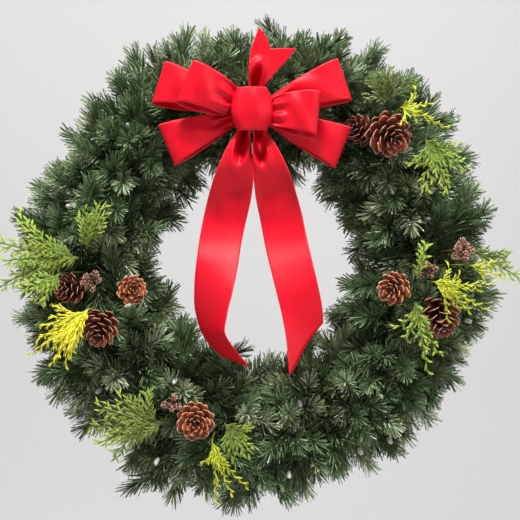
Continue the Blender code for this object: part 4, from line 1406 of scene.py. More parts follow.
@dataclass(frozen=True)
class MainTwigs:
    """Places the main twigs of each bunch as the frame's own solids have them.

    Fields are the sizes that the solids are drawn from, so the same seed gives the same twigs.
    """

    outer_radius: float = 0.374
    outer_swell: float = 0.017
    swell_angle: float = 215
    inner_radius: float = 0.134
    front_depth: float = 0.15
    needle_reach: float = 0.023
    lift: float = 0.1
    seed: int = 7
    steps: int = 6
    tries: int = 40
    free_tries: int = 10
    shortest: float = 0.48
    spread: float = 8
    late_spread: float = 26
    most_lean: float = 0.42
    length_share: Span = (0.93, 1.04)
    curl: Span = (0.05, 0.2)
    twig_keep: float = 0.0085
    lowest: float = 0.02
    tip_reach: float = 0.012
    far_apart: float = 0.16
    places: tuple[Span, ...] = (
        (-7.0, 24), (-4.8, 138), (-2.4, 76), (1.8, 4), (3.7, 104), (5.5, 48), (7.3, 172),
    )

    def length(self, turn: float, angle: float) -> float:
        """How long a twig is so that its needles reach the wreath's outline.

        Args:
            turn: from outwards, 0, by the front to inwards, pi.
            angle: where on the ring it starts, in degrees.

        Returns:
            The length.
        """
        outline = self.outer_radius + self.outer_swell * math.cos(math.radians(angle - self.swell_angle))
        side = outline - RING.radius if math.cos(turn) > 0 else RING.radius - self.inner_radius
        forward = self.front_depth - RING.bundle_depth
        return side * math.cos(turn) ** 2 + forward * math.sin(turn) ** 2 - self.needle_reach

    def twig(self, angle: float, turn: float, lean: float, length: float, curl: float) -> Twig:
        """The points of a twig that leaves its bundle.

        Args:
            angle: where on the ring it starts, in degrees.
            turn: from outwards, 0, by the front to inwards, pi.
            lean: how far it leans along the ring.
            length: its length.
            curl: how far it curves.

        Returns:
            Its points from root to tip.
        """
        out = RING.outwards(angle)
        along = out.cross(FRONT)
        heading = (out * math.cos(turn) + FRONT * math.sin(turn) + along * lean).normalized()
        root = RING.polar(angle, RING.radius, RING.bundle_depth)
        side = (along * curl + FRONT * self.lift * math.sin(turn)).normalized() * abs(curl)
        return grown_line(root, heading, side, length, self.steps)

    def room(
        self, points: Twig, others: list[np.ndarray], same: list[np.ndarray], blocks: Blocks
    ) -> float | None:
        """The least spare room at a twig's tip.

        Args:
            points: the twig.
            others: the twigs of other bunches.
            same: the twigs of its own bunch, which it may touch near the root.
            blocks: what it keeps clear of.

        Returns:
            The distance to the nearest other tip, or None where something is too close.
        """
        ends = [*points, points[-1] + (points[-1] - points[-2]).normalized() * self.tip_reach]
        fine = [start.lerp(end, share) for start, end in zip(ends, ends[1:]) for share in (0, 0.34, 0.67)]
        rows = np.array(fine[2:] + [ends[-1]], float)
        if (-rows[:, 1]).min() < self.lowest:
            return None
        starts, stops, keeps = blocks
        if (distances(rows, starts, stops) < keeps[None]).any():
            return None
        tip = np.array(points[-1], float)
        room = 1.0
        for group, first, skip in ((others, 1, 2), (same, 2, 5)):
            for other in group:
                apart = float(np.linalg.norm(other[-1] - tip))
                if apart > self.far_apart:
                    continue
                if distances(rows[skip:], other[first:-1], other[first + 1:]).min() < self.twig_keep:
                    return None
                room = min(room, apart)
        return room

    def bunches(self, blocks: Blocks) -> list[list[Twig]]:
        """The main twigs of each bunch: of some seeded tries for each, the one furthest from the rest.

        Args:
            blocks: what the twigs keep clear of.

        Returns:
            For each bunch its twigs.
        """
        draw = random.Random(self.seed)
        found: list[list[Twig]] = [[] for _ in range(RING.bunches)]
        taken: list[tuple[int, np.ndarray]] = []
        for offset, turn_middle in self.places:
            for index in range(RING.bunches):
                angle = RING.sector_angle(index) + offset * (-1 if index % 2 else 1)
                others = [rows for owner, rows in taken if owner != index]
                same = [rows for owner, rows in taken if owner == index]
                best, best_room = None, 0.0
                for attempt in range(self.tries):
                    late = max(0, attempt - self.free_tries) / (self.tries - self.free_tries)
                    shrink = 1 - (1 - self.shortest) * late
                    spread = self.spread + self.late_spread * late
                    turn = math.radians(turn_middle + draw.uniform(-spread, spread))
                    lean = draw.uniform(-self.most_lean, self.most_lean)
                    length = self.length(turn, angle) * shrink * draw.uniform(*self.length_share)
                    points = self.twig(angle, turn, lean, length, draw.uniform(*self.curl))
                    room = self.room(points, others, same, blocks)
                    if room is not None and room * shrink > best_room:
                        best, best_room = points, room * shrink
                if best:
                    found[index].append(best)
                    taken.append((index, np.array(best, float)))
        return found


@dataclass(frozen=True)
class Filling:
    """A layer of added twigs: which way each turns, their lengths and how far they lean along the ring."""

    turns: tuple[float, ...]
    shortest: float
    longest: float
    sway: float


@dataclass(frozen=True)
class AddedTwigs:
    """The side twigs of the main ones, and the twigs that fill the bunches between them.

    A lobe is a swell of the outline: its middle and half width in degrees, and its rise.
    """

    main: MainTwigs = MainTwigs()
    inner_radius: float = 0.12
    lobes: tuple[Place, ...] = (
        (244, 13, 0.036), (171, 6, 0.02), (151, 7, -0.042), (130, 6, -0.014), (100, 5, -0.032),
        (332, 22, -0.024), (289, 11, -0.02), (13, 12, -0.014), (265, 12, 0.01), (240, 4, 0.022),
        (60, 8, 0.014), (113, 8, 0.026), (141, 4, 0.012), (353, 5, 0.014), (210, 9, 0.01),
    )
    inner_lobes: tuple[Place, ...] = ((290, 8, 0.02), (352, 9, 0.034), (258, 8, 0.046))
    lowest: float = 0.016
    spare_radius: float = 0.006
    spare_depth: float = 0.01
    keep_share: float = 0.85
    side_places: tuple[tuple[float, int], ...] = ((0.18, 1), (0.34, -1), (0.52, 1))
    side_tries: int = 4
    side_steps: int = 4
    side_shortest: float = 0.032
    side_share: Span = (0.6, 0.95)
    side_shrink: float = 0.15
    side_opening: Span = (44, 72)
    side_wobble: float = 0.5
    side_lift: float = 0.45
    side_bend: Span = (0.08, 0.22)
    fillings: tuple[Filling, ...] = (
        Filling((-4, 8, 20, -10, 32, 2, 14), 0.84, 1.04, 0.7),
        Filling((184, 172, 160, 190, 150), 0.84, 1.04, 0.7),
        Filling((45, 70, 95, 120, 58, 84, 108, 135), 0.72, 1.1, 1.35),
        Filling((20, 55, 90, 125, 160, 40, 75, 105, 140), 0.28, 0.46, 0.8),
    )
    filler_tries: int = 5
    filler_shrink: float = 0.1
    filler_step: float = 0.618
    filler_width: float = 0.98
    filler_drift: float = 1.5
    filler_turn: float = 9
    filler_lean: Span = (0.3, 1.0)
    filler_curl: Span = (0.08, 0.34)

    def swells(self, lobes: tuple[Place, ...], angle: float) -> float:
        """The sum of the lobes' rises at an angle."""
        away = [(angle - middle + 180) % 360 - 180 for middle, _, _ in lobes]
        return sum(rise * math.exp(-((off / wide) ** 2)) for off, (_, wide, rise) in zip(away, lobes))

    def outline(self, angle: float) -> float:
        """How far the added tips reach at an angle: an even circle with swells and dips."""
        return self.main.outer_radius + self.swells(self.lobes, angle)

    def length(self, turn: float, angle: float) -> float:
        """How long an added twig may be so that its needles end at the foliage's outline.

        Args:
            turn: from outwards, 0, by the front to inwards, pi.
            angle: where on the ring it starts, in degrees.

        Returns:
            The length.
        """
        inwards = RING.radius - self.inner_radius + self.swells(self.inner_lobes, angle)
        side = self.outline(angle) - RING.radius if math.cos(turn) > 0 else inwards
        forward = self.main.front_depth - RING.bundle_depth
        return side * math.cos(turn) ** 2 + forward * math.sin(turn) ** 2 - self.main.needle_reach * 0.5

    def is_free(self, points: Twig, blocks: Blocks) -> bool:
        """True if an added twig keeps inside the wreath's outline and clear of what lies in front of it.

        Args:
            points: the twig's points.
            blocks: what the twigs keep clear of.

        Returns:
            True where there is room for it.
        """
        tip = points[-1] + (points[-1] - points[-2]).normalized() * self.main.needle_reach
        across, height = tip.x, tip.z + RING.below_nail
        radius = math.hypot(across, height)
        angle = math.degrees(math.atan2(height, across))
        if not self.inner_radius <= radius <= self.outline(angle) + self.spare_radius:
            return False
        if not self.lowest <= -points[-1].y or -tip.y > self.main.front_depth + self.spare_depth:
            return False
        starts, stops, keeps = blocks
        away = distances(np.array(points[2:], float), starts, stops)
        return not (away < keeps[None] * self.keep_share).any()

    def side_twigs(self, main: Twig, draw: random.Random, blocks: Blocks) -> list[Twig]:
        """Short twigs off both sides of a main twig.

        Args:
            main: the main twig's points.
            draw: the source of the random draws.
            blocks: what they keep clear of.

        Returns:
            The twigs that have room.
        """
        found = []
        total = total_length(main)
        wobble = self.side_wobble
        for share, sign in self.side_places:
            step = share * self.main.steps
            index = int(step)
            root = main[index].lerp(main[index + 1], step - index)
            ahead = (main[index + 1] - main[index]).normalized()
            upright = Vector((draw.uniform(-wobble, wobble), -1, draw.uniform(-wobble, wobble)))
            across = ahead.cross(upright).normalized()
            for attempt in range(self.side_tries):
                longest = max(self.side_shortest, total * (1 - share) * draw.uniform(*self.side_share))
                length = longest * (1 - self.side_shrink * attempt)
                opening = math.radians(draw.uniform(*self.side_opening))
                lift = across.cross(ahead) * draw.uniform(-self.side_lift, self.side_lift)
                side = (across * sign + lift).normalized()
                heading = ahead * math.cos(opening) + side * math.sin(opening)
                bend = ahead * draw.uniform(*self.side_bend)
                points = grown_line(root, heading, bend, length, self.side_steps)
                if self.is_free(points, blocks):
                    found.append(points)
                    break
        return found

    def fillers(self, index: int, draw: random.Random, blocks: Blocks) -> list[Twig]:
        """The twigs that fill a bunch.

        Args:
            index: the bunch's number.
            draw: the source of the random draws.
            blocks: what they keep clear of.

        Returns:
            The twigs that have room.
        """
        found = []
        for filling in self.fillings:
            for number, turn_middle in enumerate(filling.turns):
                place = (number * self.filler_step + 0.5 * filling.shortest) % 1 - 0.5
                offset = place * RING.sector * self.filler_width
                for attempt in range(self.filler_tries):
                    drift = draw.uniform(-self.filler_drift, self.filler_drift)
                    angle = RING.sector_angle(index) + offset + drift
                    turn = math.radians(turn_middle + draw.uniform(-self.filler_turn, self.filler_turn))
                    length = self.length(turn, angle) * draw.uniform(filling.shortest, filling.longest)
                    length *= 1 - self.filler_shrink * attempt
                    lean = draw.choice((-1, 1)) * draw.uniform(*self.filler_lean) * filling.sway
                    curl = draw.choice((-1, 1)) * draw.uniform(*self.filler_curl)
                    points = self.main.twig(angle, turn, lean, length, curl)
                    if self.is_free(points, blocks):
                        found.append(points)
                        break
        return found


# ---------------------------------------------------------------- fir bunches
@dataclass(frozen=True)
class FirBunches:
    """The eighteen bunches of fir that make the wreath's body."""

    added: AddedTwigs = AddedTwigs()
    needle_length: float = 0.0325
    needle_width: float = 0.00165
    needle_spacing: float = 0.00046
    base_lean: float = math.radians(53)
    tip_lean: float = math.radians(27)
    bare: float = 0.1
    twig_radii: Span = (0.0021, 0.0008)
    side_radii: Span = (0.0013, 0.0006)
    stems: int = 7
    stem_off: float = 0.0052
    stem_radii: Span = (0.002, 0.003)
    stem_overrun: float = 1.2
    wall_clearance: float = 0.0045
    needle_gap: float = 0.003

    def needle(self, shop: Workshop) -> Object:
        """One needle on the Z axis, a metre long and wide before scaling: a slim, slightly twisted blade."""
        points = [(-0.5, 0, 0), (0.5, 0, 0), (-0.4, 0.28, 1), (0.4, -0.28, 1)]
        return shop.blade("needle", points, [(0, 2, 1), (0, 1, 3), (0, 3, 2), (2, 3, 1)])

    def tree(self) -> NodeTree:
        """The tree that gives twigs their bark and their needles.

        Returns:
            The tree.
        """
        sketch = GeometrySketch("needle_sprays")
        needle = sketch.named("Needle", "Object")
        clear_of = sketch.named("Clear of", "Object")
        spacing, length, width, base_lean, tip_lean = sketch.numbers(
            Spacing=self.needle_spacing, Length=self.needle_length, Width=self.needle_width,
            Base_lean=self.base_lean, Tip_lean=self.tip_lean,
        )
        seed = sketch.named("Seed", "Int", 1)
        green = sketch.named("Needle finish", "Material")
        points, stems = sketch.stations(spacing, sketch.named("Bark finish", "Material"))
        place = sketch.attribute("share")
        turn = sketch.plus(sketch.times(sketch.index, GOLDEN_ANGLE), sketch.random(-0.6, 0.6, seed))
        opening = sketch.mapped(sketch.math("POWER", place, 1.5), (0.0, 1.0), (base_lean, tip_lean))
        opening = sketch.plus(opening, sketch.random(-0.14, 0.12, sketch.plus(seed, 1)))
        rotation = sketch.turned(points.outputs["Rotation"], (0, 0, 1), turn)
        rotation = sketch.turned(rotation, (1, 0, 0), opening)
        rolled = sketch.turned(rotation, (0, 0, 1), sketch.random(-0.9, 0.9, sketch.plus(seed, 2)))
        foot = sketch.mapped(place, (0.0, 0.35), (0.72, 1.0))
        fullness = sketch.times(foot, sketch.mapped(place, (0.7, 1.0), (1.0, 0.8)))
        reach = sketch.times(length, fullness, sketch.random(0.84, 1.1, sketch.plus(seed, 3)))
        ahead = sketch.out("FunctionNodeRotateVector", {"Vector": (0, 0, 1), "Rotation": rotation})
        here = sketch.out("GeometryNodeInputPosition")
        ray = {"Target Geometry": sketch.shape_of(clear_of), "Source Position": here, "Ray Direction": ahead}
        hit = sketch.node("GeometryNodeRaycast", {**ray, "Ray Length": sketch.plus(reach, self.needle_gap)})
        sockets = {0: ahead, 1: sketch.xyz(reach, reach, reach), 2: here}
        tip = sketch.out("ShaderNodeVectorMath", sockets, operation="MULTIPLY_ADD")
        depth = sketch.node("ShaderNodeSeparateXYZ", {0: tip}).outputs[1]
        too_low = sketch.compared(depth, "GREATER_THAN", -self.wall_clearance)
        bare = sketch.compared(place, "LESS_THAN", self.bare)
        drop = sketch.truth("OR", sketch.truth("OR", hit.outputs["Is Hit"], too_low), bare)
        kept = sketch.truth("NOT", drop)
        tinted = sketch.tinted(points.outputs["Points"], sketch.plus(seed, 4))
        size = sketch.xyz(width, width, reach)
        return sketch.finish(stems, sketch.copies(tinted, sketch.shape_of(needle), rolled, green, size, kept))

    def stem_strands(self, index: int, draw: random.Random) -> list[Strand]:
        """The tied stems of a bunch, which run along the ring inside the clamp.

        Args:
            index: the bunch's number.
            draw: the source of the random draws.

        Returns:
            The strands.
        """
        found = []
        middle, reach = RING.sector_angle(index), RING.sector / 2 - RING.bundle_gap + self.stem_overrun
        for number in range(self.stems):
            turn = math.tau * number / self.stems + draw.uniform(-0.3, 0.3)
            off = self.stem_off * (0.6 if number % 2 else 1.0)
            radius = RING.radius + off * math.cos(turn)
            depth = RING.bundle_depth + off * math.sin(turn)
            stop = reach * draw.uniform(0.9, 1.05)
            points = [RING.polar(middle - stop + 2 * stop * s, radius, depth) for s in even(6)]
            found.append(Strand.plain(points, draw.uniform(*self.stem_radii), shade=0.2))
        return found

    def build(self, shop: Workshop, clear_of: Object) -> None:
        """Makes one piece for each bunch.

        Args:
            shop: makes the meshes.
            clear_of: what the needles must not run through.
        """
        tree, needle, wood = self.tree(), self.needle(shop), strand_tree()
        green, bark = NeedleFinish().material(), BarkFinish().material()
        draw = random.Random(self.added.main.seed + 2)
        blocks = Obstacles().blocks()
        for index, twigs in enumerate(self.added.main.bunches(blocks)):
            strands = []
            for twig in twigs:
                strands.append(Strand.tapered(twig, self.twig_radii, shade=draw.random()))
                sides = self.added.side_twigs(twig, draw, blocks)
                strands += [Strand.tapered(side, self.side_radii, shade=draw.random()) for side in sides]
            for filler in self.added.fillers(index, draw, blocks):
                # Painted shade: the filler twigs lie inside the bunch, so they get only the darker half of
                # the needle colours.
                strands.append(Strand.tapered(filler, self.side_radii, shade=draw.random() * 0.5))
            name = f"fir_bunch_{index + 1:02d}"
            foliage = shop.grown(
                name + "_sprays", shop.strand_object(strands), tree,
                Needle=needle, Clear_of=clear_of, Seed=10 * index, Needle_finish=green, Bark_finish=bark,
            )
            source = shop.strand_object(self.stem_strands(index, draw))
            stems = shop.grown(name + "_stems", source, wood, Finish=bark)
            shop.hand_over(shop.joined(name + "_foliage", [foliage, stems]), Slot.FIR, name)
        shop.remove(needle)


def strand_tree(sides: int = 8) -> NodeTree:
    """The tree that makes each strand a closed tube, for stems, wires and cords.

    Args:
        sides: how many sides each tube has.

    Returns:
        The tree.
    """
    sketch = GeometrySketch("strand_tubes")
    count = sketch.named("Sides", "Int", sides)
    finish = sketch.named("Finish", "Material")
    return sketch.finish(sketch.tube(sketch.strands(), count, finish))


# ---------------------------------------------------------------- flat fronds
def along_line(
    points: Twig, count: int, first: float, end: float, ahead: float
) -> Iterator[tuple[float, int, Vector, Vector]]:
    """Even places on a smooth line, from which side growth starts to the left and the right in turn.

    Args:
        points: the line.
        count: how many places there are.
        first: where the first place is, in places.
        end: the share of the line where the last place would be.
        ahead: how far ahead, as a share, the direction is taken.

    Returns:
        For each place its share of the way, its side, the point and the direction there.
    """
    rows = [tuple(point) for point in points]
    for number in range(count):
        share = (number + first) / count
        base = Vector(catmull_rom(rows, share * end))
        onwards = (Vector(catmull_rom(rows, min(1.0, share + ahead))) - base).normalized()
        yield share, 1 if number % 2 else -1, base, onwards


@dataclass(frozen=True)
class Rib:
    """A rib or a thread of a frond, from which the side branches grow.

    Fields are its points, the unit vectors across it and out of its flat side, how far side branches may
    reach from it, and how fresh it is, from 0 to 1.
    """

    points: Twig
    across: Vector
    facing: Vector
    side: float
    growth: float

    def places(self, pitch: float, first: float) -> Iterator[tuple[float, int, Vector, Vector]]:
        """The places where side branches start, this far apart."""
        return along_line(self.points, max(6, round(total_length(self.points) / pitch)), first, 0.98, 0.03)


@dataclass(frozen=True)
class Fronds:
    """The cedar fans and the golden cypress threads."""

    stem_radius: float = 0.0011
    leaf_length: float = 0.0052
    leaf_width: float = 0.0034
    leaf_spacing: float = 0.0017
    thread_leaf: float = 0.5
    leaf_lean: float = math.radians(6)
    arch: float = 0.012
    rib_lead: float = 0.34
    rib_pull: float = 0.16
    rib_tip: float = 0.0007
    thread_radii: Span = (0.0007, 0.0004)
    branch_radii: Span = (0.0009, 0.0004)
    spur_radii: Span = (0.0005, 0.0003)
    shoot_radii: Span = (0.0006, 0.0003)
    least_branch: float = 0.004
    least_spur: float = 0.006
    facing_sway: float = 0.35
    branch_steps: int = 4
    fan_pitch: float = 0.0082
    fan_opening: Span = (30, 41)
    fan_shoots: Span = (0.0046, 0.0058)
    thread_pitch: float = 0.0062
    thread_opening: Span = (20, 36)
    thread_shoots: Span = (0.008, 0.006)
    shoot_opening: Span = (26, 40)
    seed: int = 21

    def leaf(self, shop: Workshop) -> Object:
        """One scale leaf on the Z axis, keeled and closed, a metre long and wide before it is scaled."""
        points = [(-0.5, 0, 0.1), (0.5, 0, 0.1), (0, 0, 1), (0, 0.28, 0.3)]
        return shop.blade("scale_leaf", points, [(0, 1, 2), (0, 2, 3), (1, 3, 2), (0, 3, 1)])

    def tree(self) -> NodeTree:
        """The tree that clothes branchlets in pairs of scale leaves.

        Returns:
            The tree.
        """
        sketch = GeometrySketch("scale_leaf_sprays")
        leaf = sketch.named("Leaf", "Object")
        spacing, length, width, lean = sketch.numbers(
            Spacing=self.leaf_spacing, Length=self.leaf_length, Width=self.leaf_width, Lean=self.leaf_lean
        )
        seed = sketch.named("Seed", "Int", 1)
        finish = sketch.named("Finish", "Material")
        points, stems = sketch.stations(spacing, finish)
        sockets = {"Rotation": sketch.aligned(points.outputs["Tangent"])}
        sockets["Vector"] = sketch.attribute("facing", "FLOAT_VECTOR")
        flat = sketch.out("FunctionNodeAlignRotationToVector", sockets, axis="Y", pivot_axis="Z")
        side = sketch.math("SUBTRACT", sketch.times(sketch.math("MODULO", sketch.index, 2.0), 2.0), 1.0)
        opening = sketch.times(side, sketch.plus(lean, sketch.random(-0.08, 0.08, seed)))
        rotation = sketch.turned(flat, (0, 1, 0), opening)
        rotation = sketch.turned(rotation, (1, 0, 0), sketch.random(-0.22, 0.22, sketch.plus(seed, 1)))
        thin = sketch.mapped(sketch.attribute("share"), (0.35, 1.0), (1.0, 0.4))
        size = sketch.times(thin, sketch.random(0.85, 1.2, sketch.plus(seed, 2)))
        across = sketch.times(width, size)
        tinted = sketch.tinted(points.outputs["Points"], sketch.plus(seed, 3))
        scale = sketch.xyz(across, across, sketch.times(length, size))
        return sketch.finish(stems, sketch.copies(tinted, sketch.shape_of(leaf), rotation, finish, scale))

    def rib_points(self, root: Vector, end: Vector, lead: Vector) -> Twig:
        """The points of a rib, which leaves the root the way the whole frond grows and arches forwards.

        Args:
            root: where the frond divides.
            end: the rib's end.
            lead: the frond's middle direction, as long as the frond.

        Returns:
            The points from root to end.
        """
        control = root + lead * self.rib_lead + (end - root) * self.rib_pull + FRONT * self.arch
        return [root * (1 - s) ** 2 + control * 2 * s * (1 - s) + end * s * s for s in even(14)]

    def strands(self, spot: FrondSpot, draw: random.Random) -> list[Strand]:
        """A frond's stem, ribs, side branches and shoots.

        Args:
            spot: the frond.
            draw: the source of the random draws.

        Returns:
            The strands.
        """
        root = RING.place(*spot.root)
        foot = RING.on_bundle(root, 0.0012)
        ends = [RING.place(*end) for end in spot.ends]
        lead = sum(ends, Vector()) / len(ends) - root
        found = [Strand.plain([foot.lerp(root, share) for share in even(6)], self.stem_radius, shade=0.05)]
        for end in ends:
            along = (end - root).normalized()
            sway = RING.outwards(draw.uniform(0, 360)) * self.facing_sway
            across = along.cross(FRONT + sway).normalized()
            facing = across.cross(along).normalized()
            facing = facing if facing.y < 0 else -facing
            # A low growth darkens the rib towards the deep colour, partly as painted shade at the frond's
            # heart.
            growth = 0.08 + spot.fresh + draw.uniform(-0.1, 0.1)
            rib = Rib(self.rib_points(root, end, lead), across, facing, spot.side_reach, growth)
            found += self.threads(rib, draw) if spot.is_thread else self.fan(rib, draw)
        return found

    def fan(self, rib: Rib, draw: random.Random) -> list[Strand]:
        """A cedar rib: side branches that shorten to a point, each with shoots left and right.

        Args:
            rib: the rib.
            draw: the source of the random draws.

        Returns:
            The strands.
        """
        facing = rib.facing
        radii = (self.stem_radius, self.rib_tip)
        found = [Strand.tapered(rib.points, radii, facing=facing, shade=rib.growth)]
        for share, sign, base, along in rib.places(self.fan_pitch, 0.6):
            profile = min(1.0, 0.25 + 4 * share) * (1 - share) ** 0.7
            opening = math.radians(draw.uniform(*self.fan_opening))
            reach = (1.2 * rib.side * profile + self.least_branch) / math.sin(opening)
            reach *= draw.uniform(0.78, 1.12)
            heading = along * math.cos(opening) + rib.across * sign * math.sin(opening)
            bend = along * draw.uniform(0.05, 0.25) + facing * draw.uniform(-0.2, 0.15)
            points = grown_line(base, heading, bend, reach, self.branch_steps)
            fresh = rib.growth + 0.62 * share + draw.uniform(-0.08, 0.08)
            found.append(Strand.tapered(points, self.branch_radii, facing=facing, shade=fresh))
            pitch, shortest = self.fan_shoots
            found += self.shoots(points, facing, fresh, (pitch, 0.45 * rib.side + shortest), draw)
        return found

    def threads(self, rib: Rib, draw: random.Random) -> list[Strand]:
        """A cypress thread with short spurs, and forks that run beside it.

        Args:
            rib: the thread.
            draw: the source of the random draws.

        Returns:
            The strands.
        """
        facing = rib.facing
        found = [Strand.tapered(rib.points, self.thread_radii, facing=facing, shade=rib.growth)]
        for share, sign, base, along in rib.places(self.thread_pitch, 0.5):
            way = Matrix.Rotation(draw.uniform(-0.9, 0.9), 3, along) @ rib.across * sign
            opening = math.radians(draw.uniform(*self.thread_opening))
            long = rib.side * (1.15 - share) * draw.uniform(0.5, 1.1) / math.sin(opening)
            reach = max(self.least_spur, long if draw.random() < 0.65 else long * 0.45)
            heading = along * math.cos(opening) + way * math.sin(opening)
            droop = Vector((0, 0, -draw.uniform(0.0, 0.25)))
            points = grown_line(base, heading, along * 0.2 + droop, reach, self.branch_steps)
            fresh = rib.growth + 0.15 + 0.25 * share + draw.uniform(0.0, 0.2)
            found.append(Strand.tapered(points, self.spur_radii, facing=facing, shade=fresh))
            found += self.shoots(points, facing, fresh, self.thread_shoots, draw)
        return found

    def shoots(
        self, points: Twig, facing: Vector, growth: float, sizes: Span, draw: random.Random
    ) -> list[Strand]:
        """The small shoots along a side branch, alternating left and right.

        Args:
            points: the side branch.
            facing: the way the frond's flat side faces.
            growth: how fresh the side branch is, from 0 to 1.
            sizes: the distance from one shoot to the next, and the length of the first.
            draw: the source of the random draws.

        Returns:
            The shoots.
        """
        found = []
        pitch, longest = sizes
        count = max(1, int((points[-1] - points[0]).length * 0.92 / pitch))
        for share, sign, base, ahead in along_line(points, count, 0.6, 0.95, 0.05):
            sideways = ahead.cross(facing).normalized() * sign
            opening = math.radians(draw.uniform(*self.shoot_opening))
            heading = ahead * math.cos(opening) + sideways * math.sin(opening)
            length = longest * (1 - 0.5 * share) * draw.uniform(0.7, 1.15)
            bend = ahead * 0.25 + facing * draw.uniform(-0.25, 0.25)
            shoot = grown_line(base, heading, bend, length, 2)
            fresh = min(1.0, growth + 0.12 + 0.25 * share)
            found.append(Strand.tapered(shoot, self.shoot_radii, facing=facing, shade=fresh))
        return found

    def build(self, shop: Workshop) -> None:
        """Makes one piece for each frond.

        Args:
            shop: makes the pieces.
        """
        tree, leaf = self.tree(), self.leaf(shop)
        finishes = {tone: LeafFinish(*tone.value).material() for tone in Tone}
        draw = random.Random(self.seed)
        for number, spot in enumerate(FRONDS):
            piece = shop.grown(
                spot.name + "_spray", shop.strand_object(self.strands(spot, draw)), tree,
                Leaf=leaf, Width=self.leaf_width * (self.thread_leaf if spot.is_thread else 1.0),
                Seed=100 + 10 * number, Finish=finishes[spot.tone],
            )
            shop.hand_over(piece, Slot.CYPRESS if spot.is_thread else Slot.CEDAR, spot.name)
        shop.remove(leaf)


# ---------------------------------------------------------------- cones and husks
@dataclass(frozen=True)
class ConeShape:
    """How a cone's scales sit: how many, how large, and how far they open from foot to tip."""

    scales: int = 42
    scale_length: float = 0.76
    scale_width: float = 0.5
    least_length: float = 0.16
    least_width: float = 0.1
    open_foot: float = math.radians(-4)
    open_tip: float = math.radians(47)
    core: float = 0.3
    girths: tuple[Span, ...] = ((0.0, 0.6), (1.0, 0.14), (0.28, 1.0), (0.62, 0.8), (0.85, 0.45))

    def scale(self, shop: Workshop, columns: int = 6, rows: int = 5) -> Object:
        """One cone scale along X: a spoon with a thick rim, closed, a metre long and wide before scaling.

        Args:
            shop: makes the object.
            columns: faces across.
            rows: faces along.

        Returns:
            The helper object, with how far along and how near the rim each point is.
        """
        bm = bmesh.new()
        along_layer = bm.verts.layers.float.new("along")
        rim_layer = bm.verts.layers.float.new("rim")
        sheets = []
        for top in (1, -1):
            sheet = []
            for u in even(rows):
                half = 0.18 + 0.32 * smooth_step(u / 0.75) - 0.1 * smooth_step((u - 0.8) / 0.2)
                line = []
                for column in range(columns + 1):
                    v = 2 * column / columns - 1
                    x = u - 0.26 * v * v * u * u
                    z = 0.22 * u * u - 0.12 * v * v * u - 0.05 + top * (0.012 + 0.014 * u)
                    point = bm.verts.new((x, half * v, z))
                    point[along_layer] = u
                    point[rim_layer] = max(u, abs(v) * smooth_step(u * 1.6 - 0.3))
                    line.append(point)
                sheet.append(line)
            sheets.append(sheet)
        for sheet, flip in zip(sheets, (False, True)):
            for lower, upper in zip(sheet, sheet[1:]):
                for column in range(columns):
                    corners = [lower[column], upper[column], upper[column + 1], lower[column + 1]]
                    bm.faces.new(corners if flip else corners[::-1])
        top, bottom = sheets
        edge = [(0, c) for c in range(columns)] + [(r, columns) for r in range(rows)]
        edge += [(rows, c) for c in range(columns, 0, -1)] + [(r, 0) for r in range(rows, 0, -1)]
        for (row, column), (to_row, to_column) in zip(edge, edge[1:] + edge[:1]):
            here = (top[row][column], bottom[row][column])
            bm.faces.new((*here, bottom[to_row][to_column], top[to_row][to_column]))
        bmesh.ops.recalc_face_normals(bm, faces=bm.faces[:])
        return shop.link("cone_scale", mesh_of(bm, "cone_scale"))

    def tree(self) -> NodeTree:
        """The tree that sets scales in a spiral round a line of points, from the foot to the tip on +Z.

        Returns:
            The tree.
        """
        sketch = GeometrySketch("cone_spiral")
        scale = sketch.named("Scale", "Object")
        count = sketch.named("Count", "Int", self.scales)
        length, radius, open_foot, open_tip = sketch.numbers(
            Length=0.05, Radius=0.025, Open_foot=self.open_foot, Open_tip=self.open_tip
        )
        seed = sketch.named("Seed", "Int", 1)
        finish = sketch.named("Finish", "Material")
        line = sketch.out("GeometryNodeMeshLine", {"Count": count, "Offset": (0, 0, 0)})
        index = sketch.index
        risen = sketch.math("POWER", sketch.math("DIVIDE", sketch.plus(index, 0.5), count), 0.85)
        body = sketch.node("ShaderNodeFloatCurve", {"Value": risen})
        curve = body.mapping.curves[0]
        for point, place in zip(curve.points, self.girths):
            point.location = place
        for place in self.girths[2:]:
            curve.points.new(*place)
        body.mapping.update()
        girth = sketch.times(radius, body.outputs[0])
        angle = sketch.plus(sketch.times(index, GOLDEN_ANGLE), sketch.random(-0.1, 0.1, seed))
        core = sketch.times(girth, self.core)
        height = sketch.times(length, sketch.math("SUBTRACT", sketch.times(risen, 0.86), 0.44))
        across = (sketch.times(core, sketch.math(way, angle)) for way in ("COSINE", "SINE"))
        spot = sketch.xyz(*across, height)
        points = sketch.out("GeometryNodeSetPosition", {"Geometry": line, "Position": spot})
        opening = sketch.mapped(risen, (0.0, 1.0), (open_foot, open_tip))
        opening = sketch.plus(opening, sketch.random(-0.08, 0.08, sketch.plus(seed, 1)))
        euler = sketch.xyz(y=sketch.times(opening, -1.0), z=angle)
        rotation = sketch.out("FunctionNodeEulerToRotation", {"Euler": euler})
        long = sketch.plus(sketch.times(girth, self.scale_length), sketch.times(radius, self.least_length))
        wide = sketch.plus(sketch.times(girth, self.scale_width), sketch.times(radius, self.least_width))
        tinted = sketch.tinted(points, sketch.plus(seed, 2))
        size = sketch.xyz(long, wide, long)
        return sketch.finish(sketch.copies(tinted, sketch.shape_of(scale), rotation, finish, size))

    def cone(
        self, shop: Workshop, tree: NodeTree, place: Vector, axis: Vector, **inputs: Any
    ) -> Object:
        """The scales of one cone.

        Args:
            shop: makes the object.
            tree: the tree that sets the scales.
            place: the cone's middle.
            axis: the unit vector to its tip.
            **inputs: the tree's named inputs.

        Returns:
            The cone.
        """
        source = shop.link("cone_source", bpy.data.meshes.new("cone_source"))
        cone = shop.grown("cone_scales", source, tree, **inputs)
        cone.data.transform(facing_matrix(place, axis))
        return cone


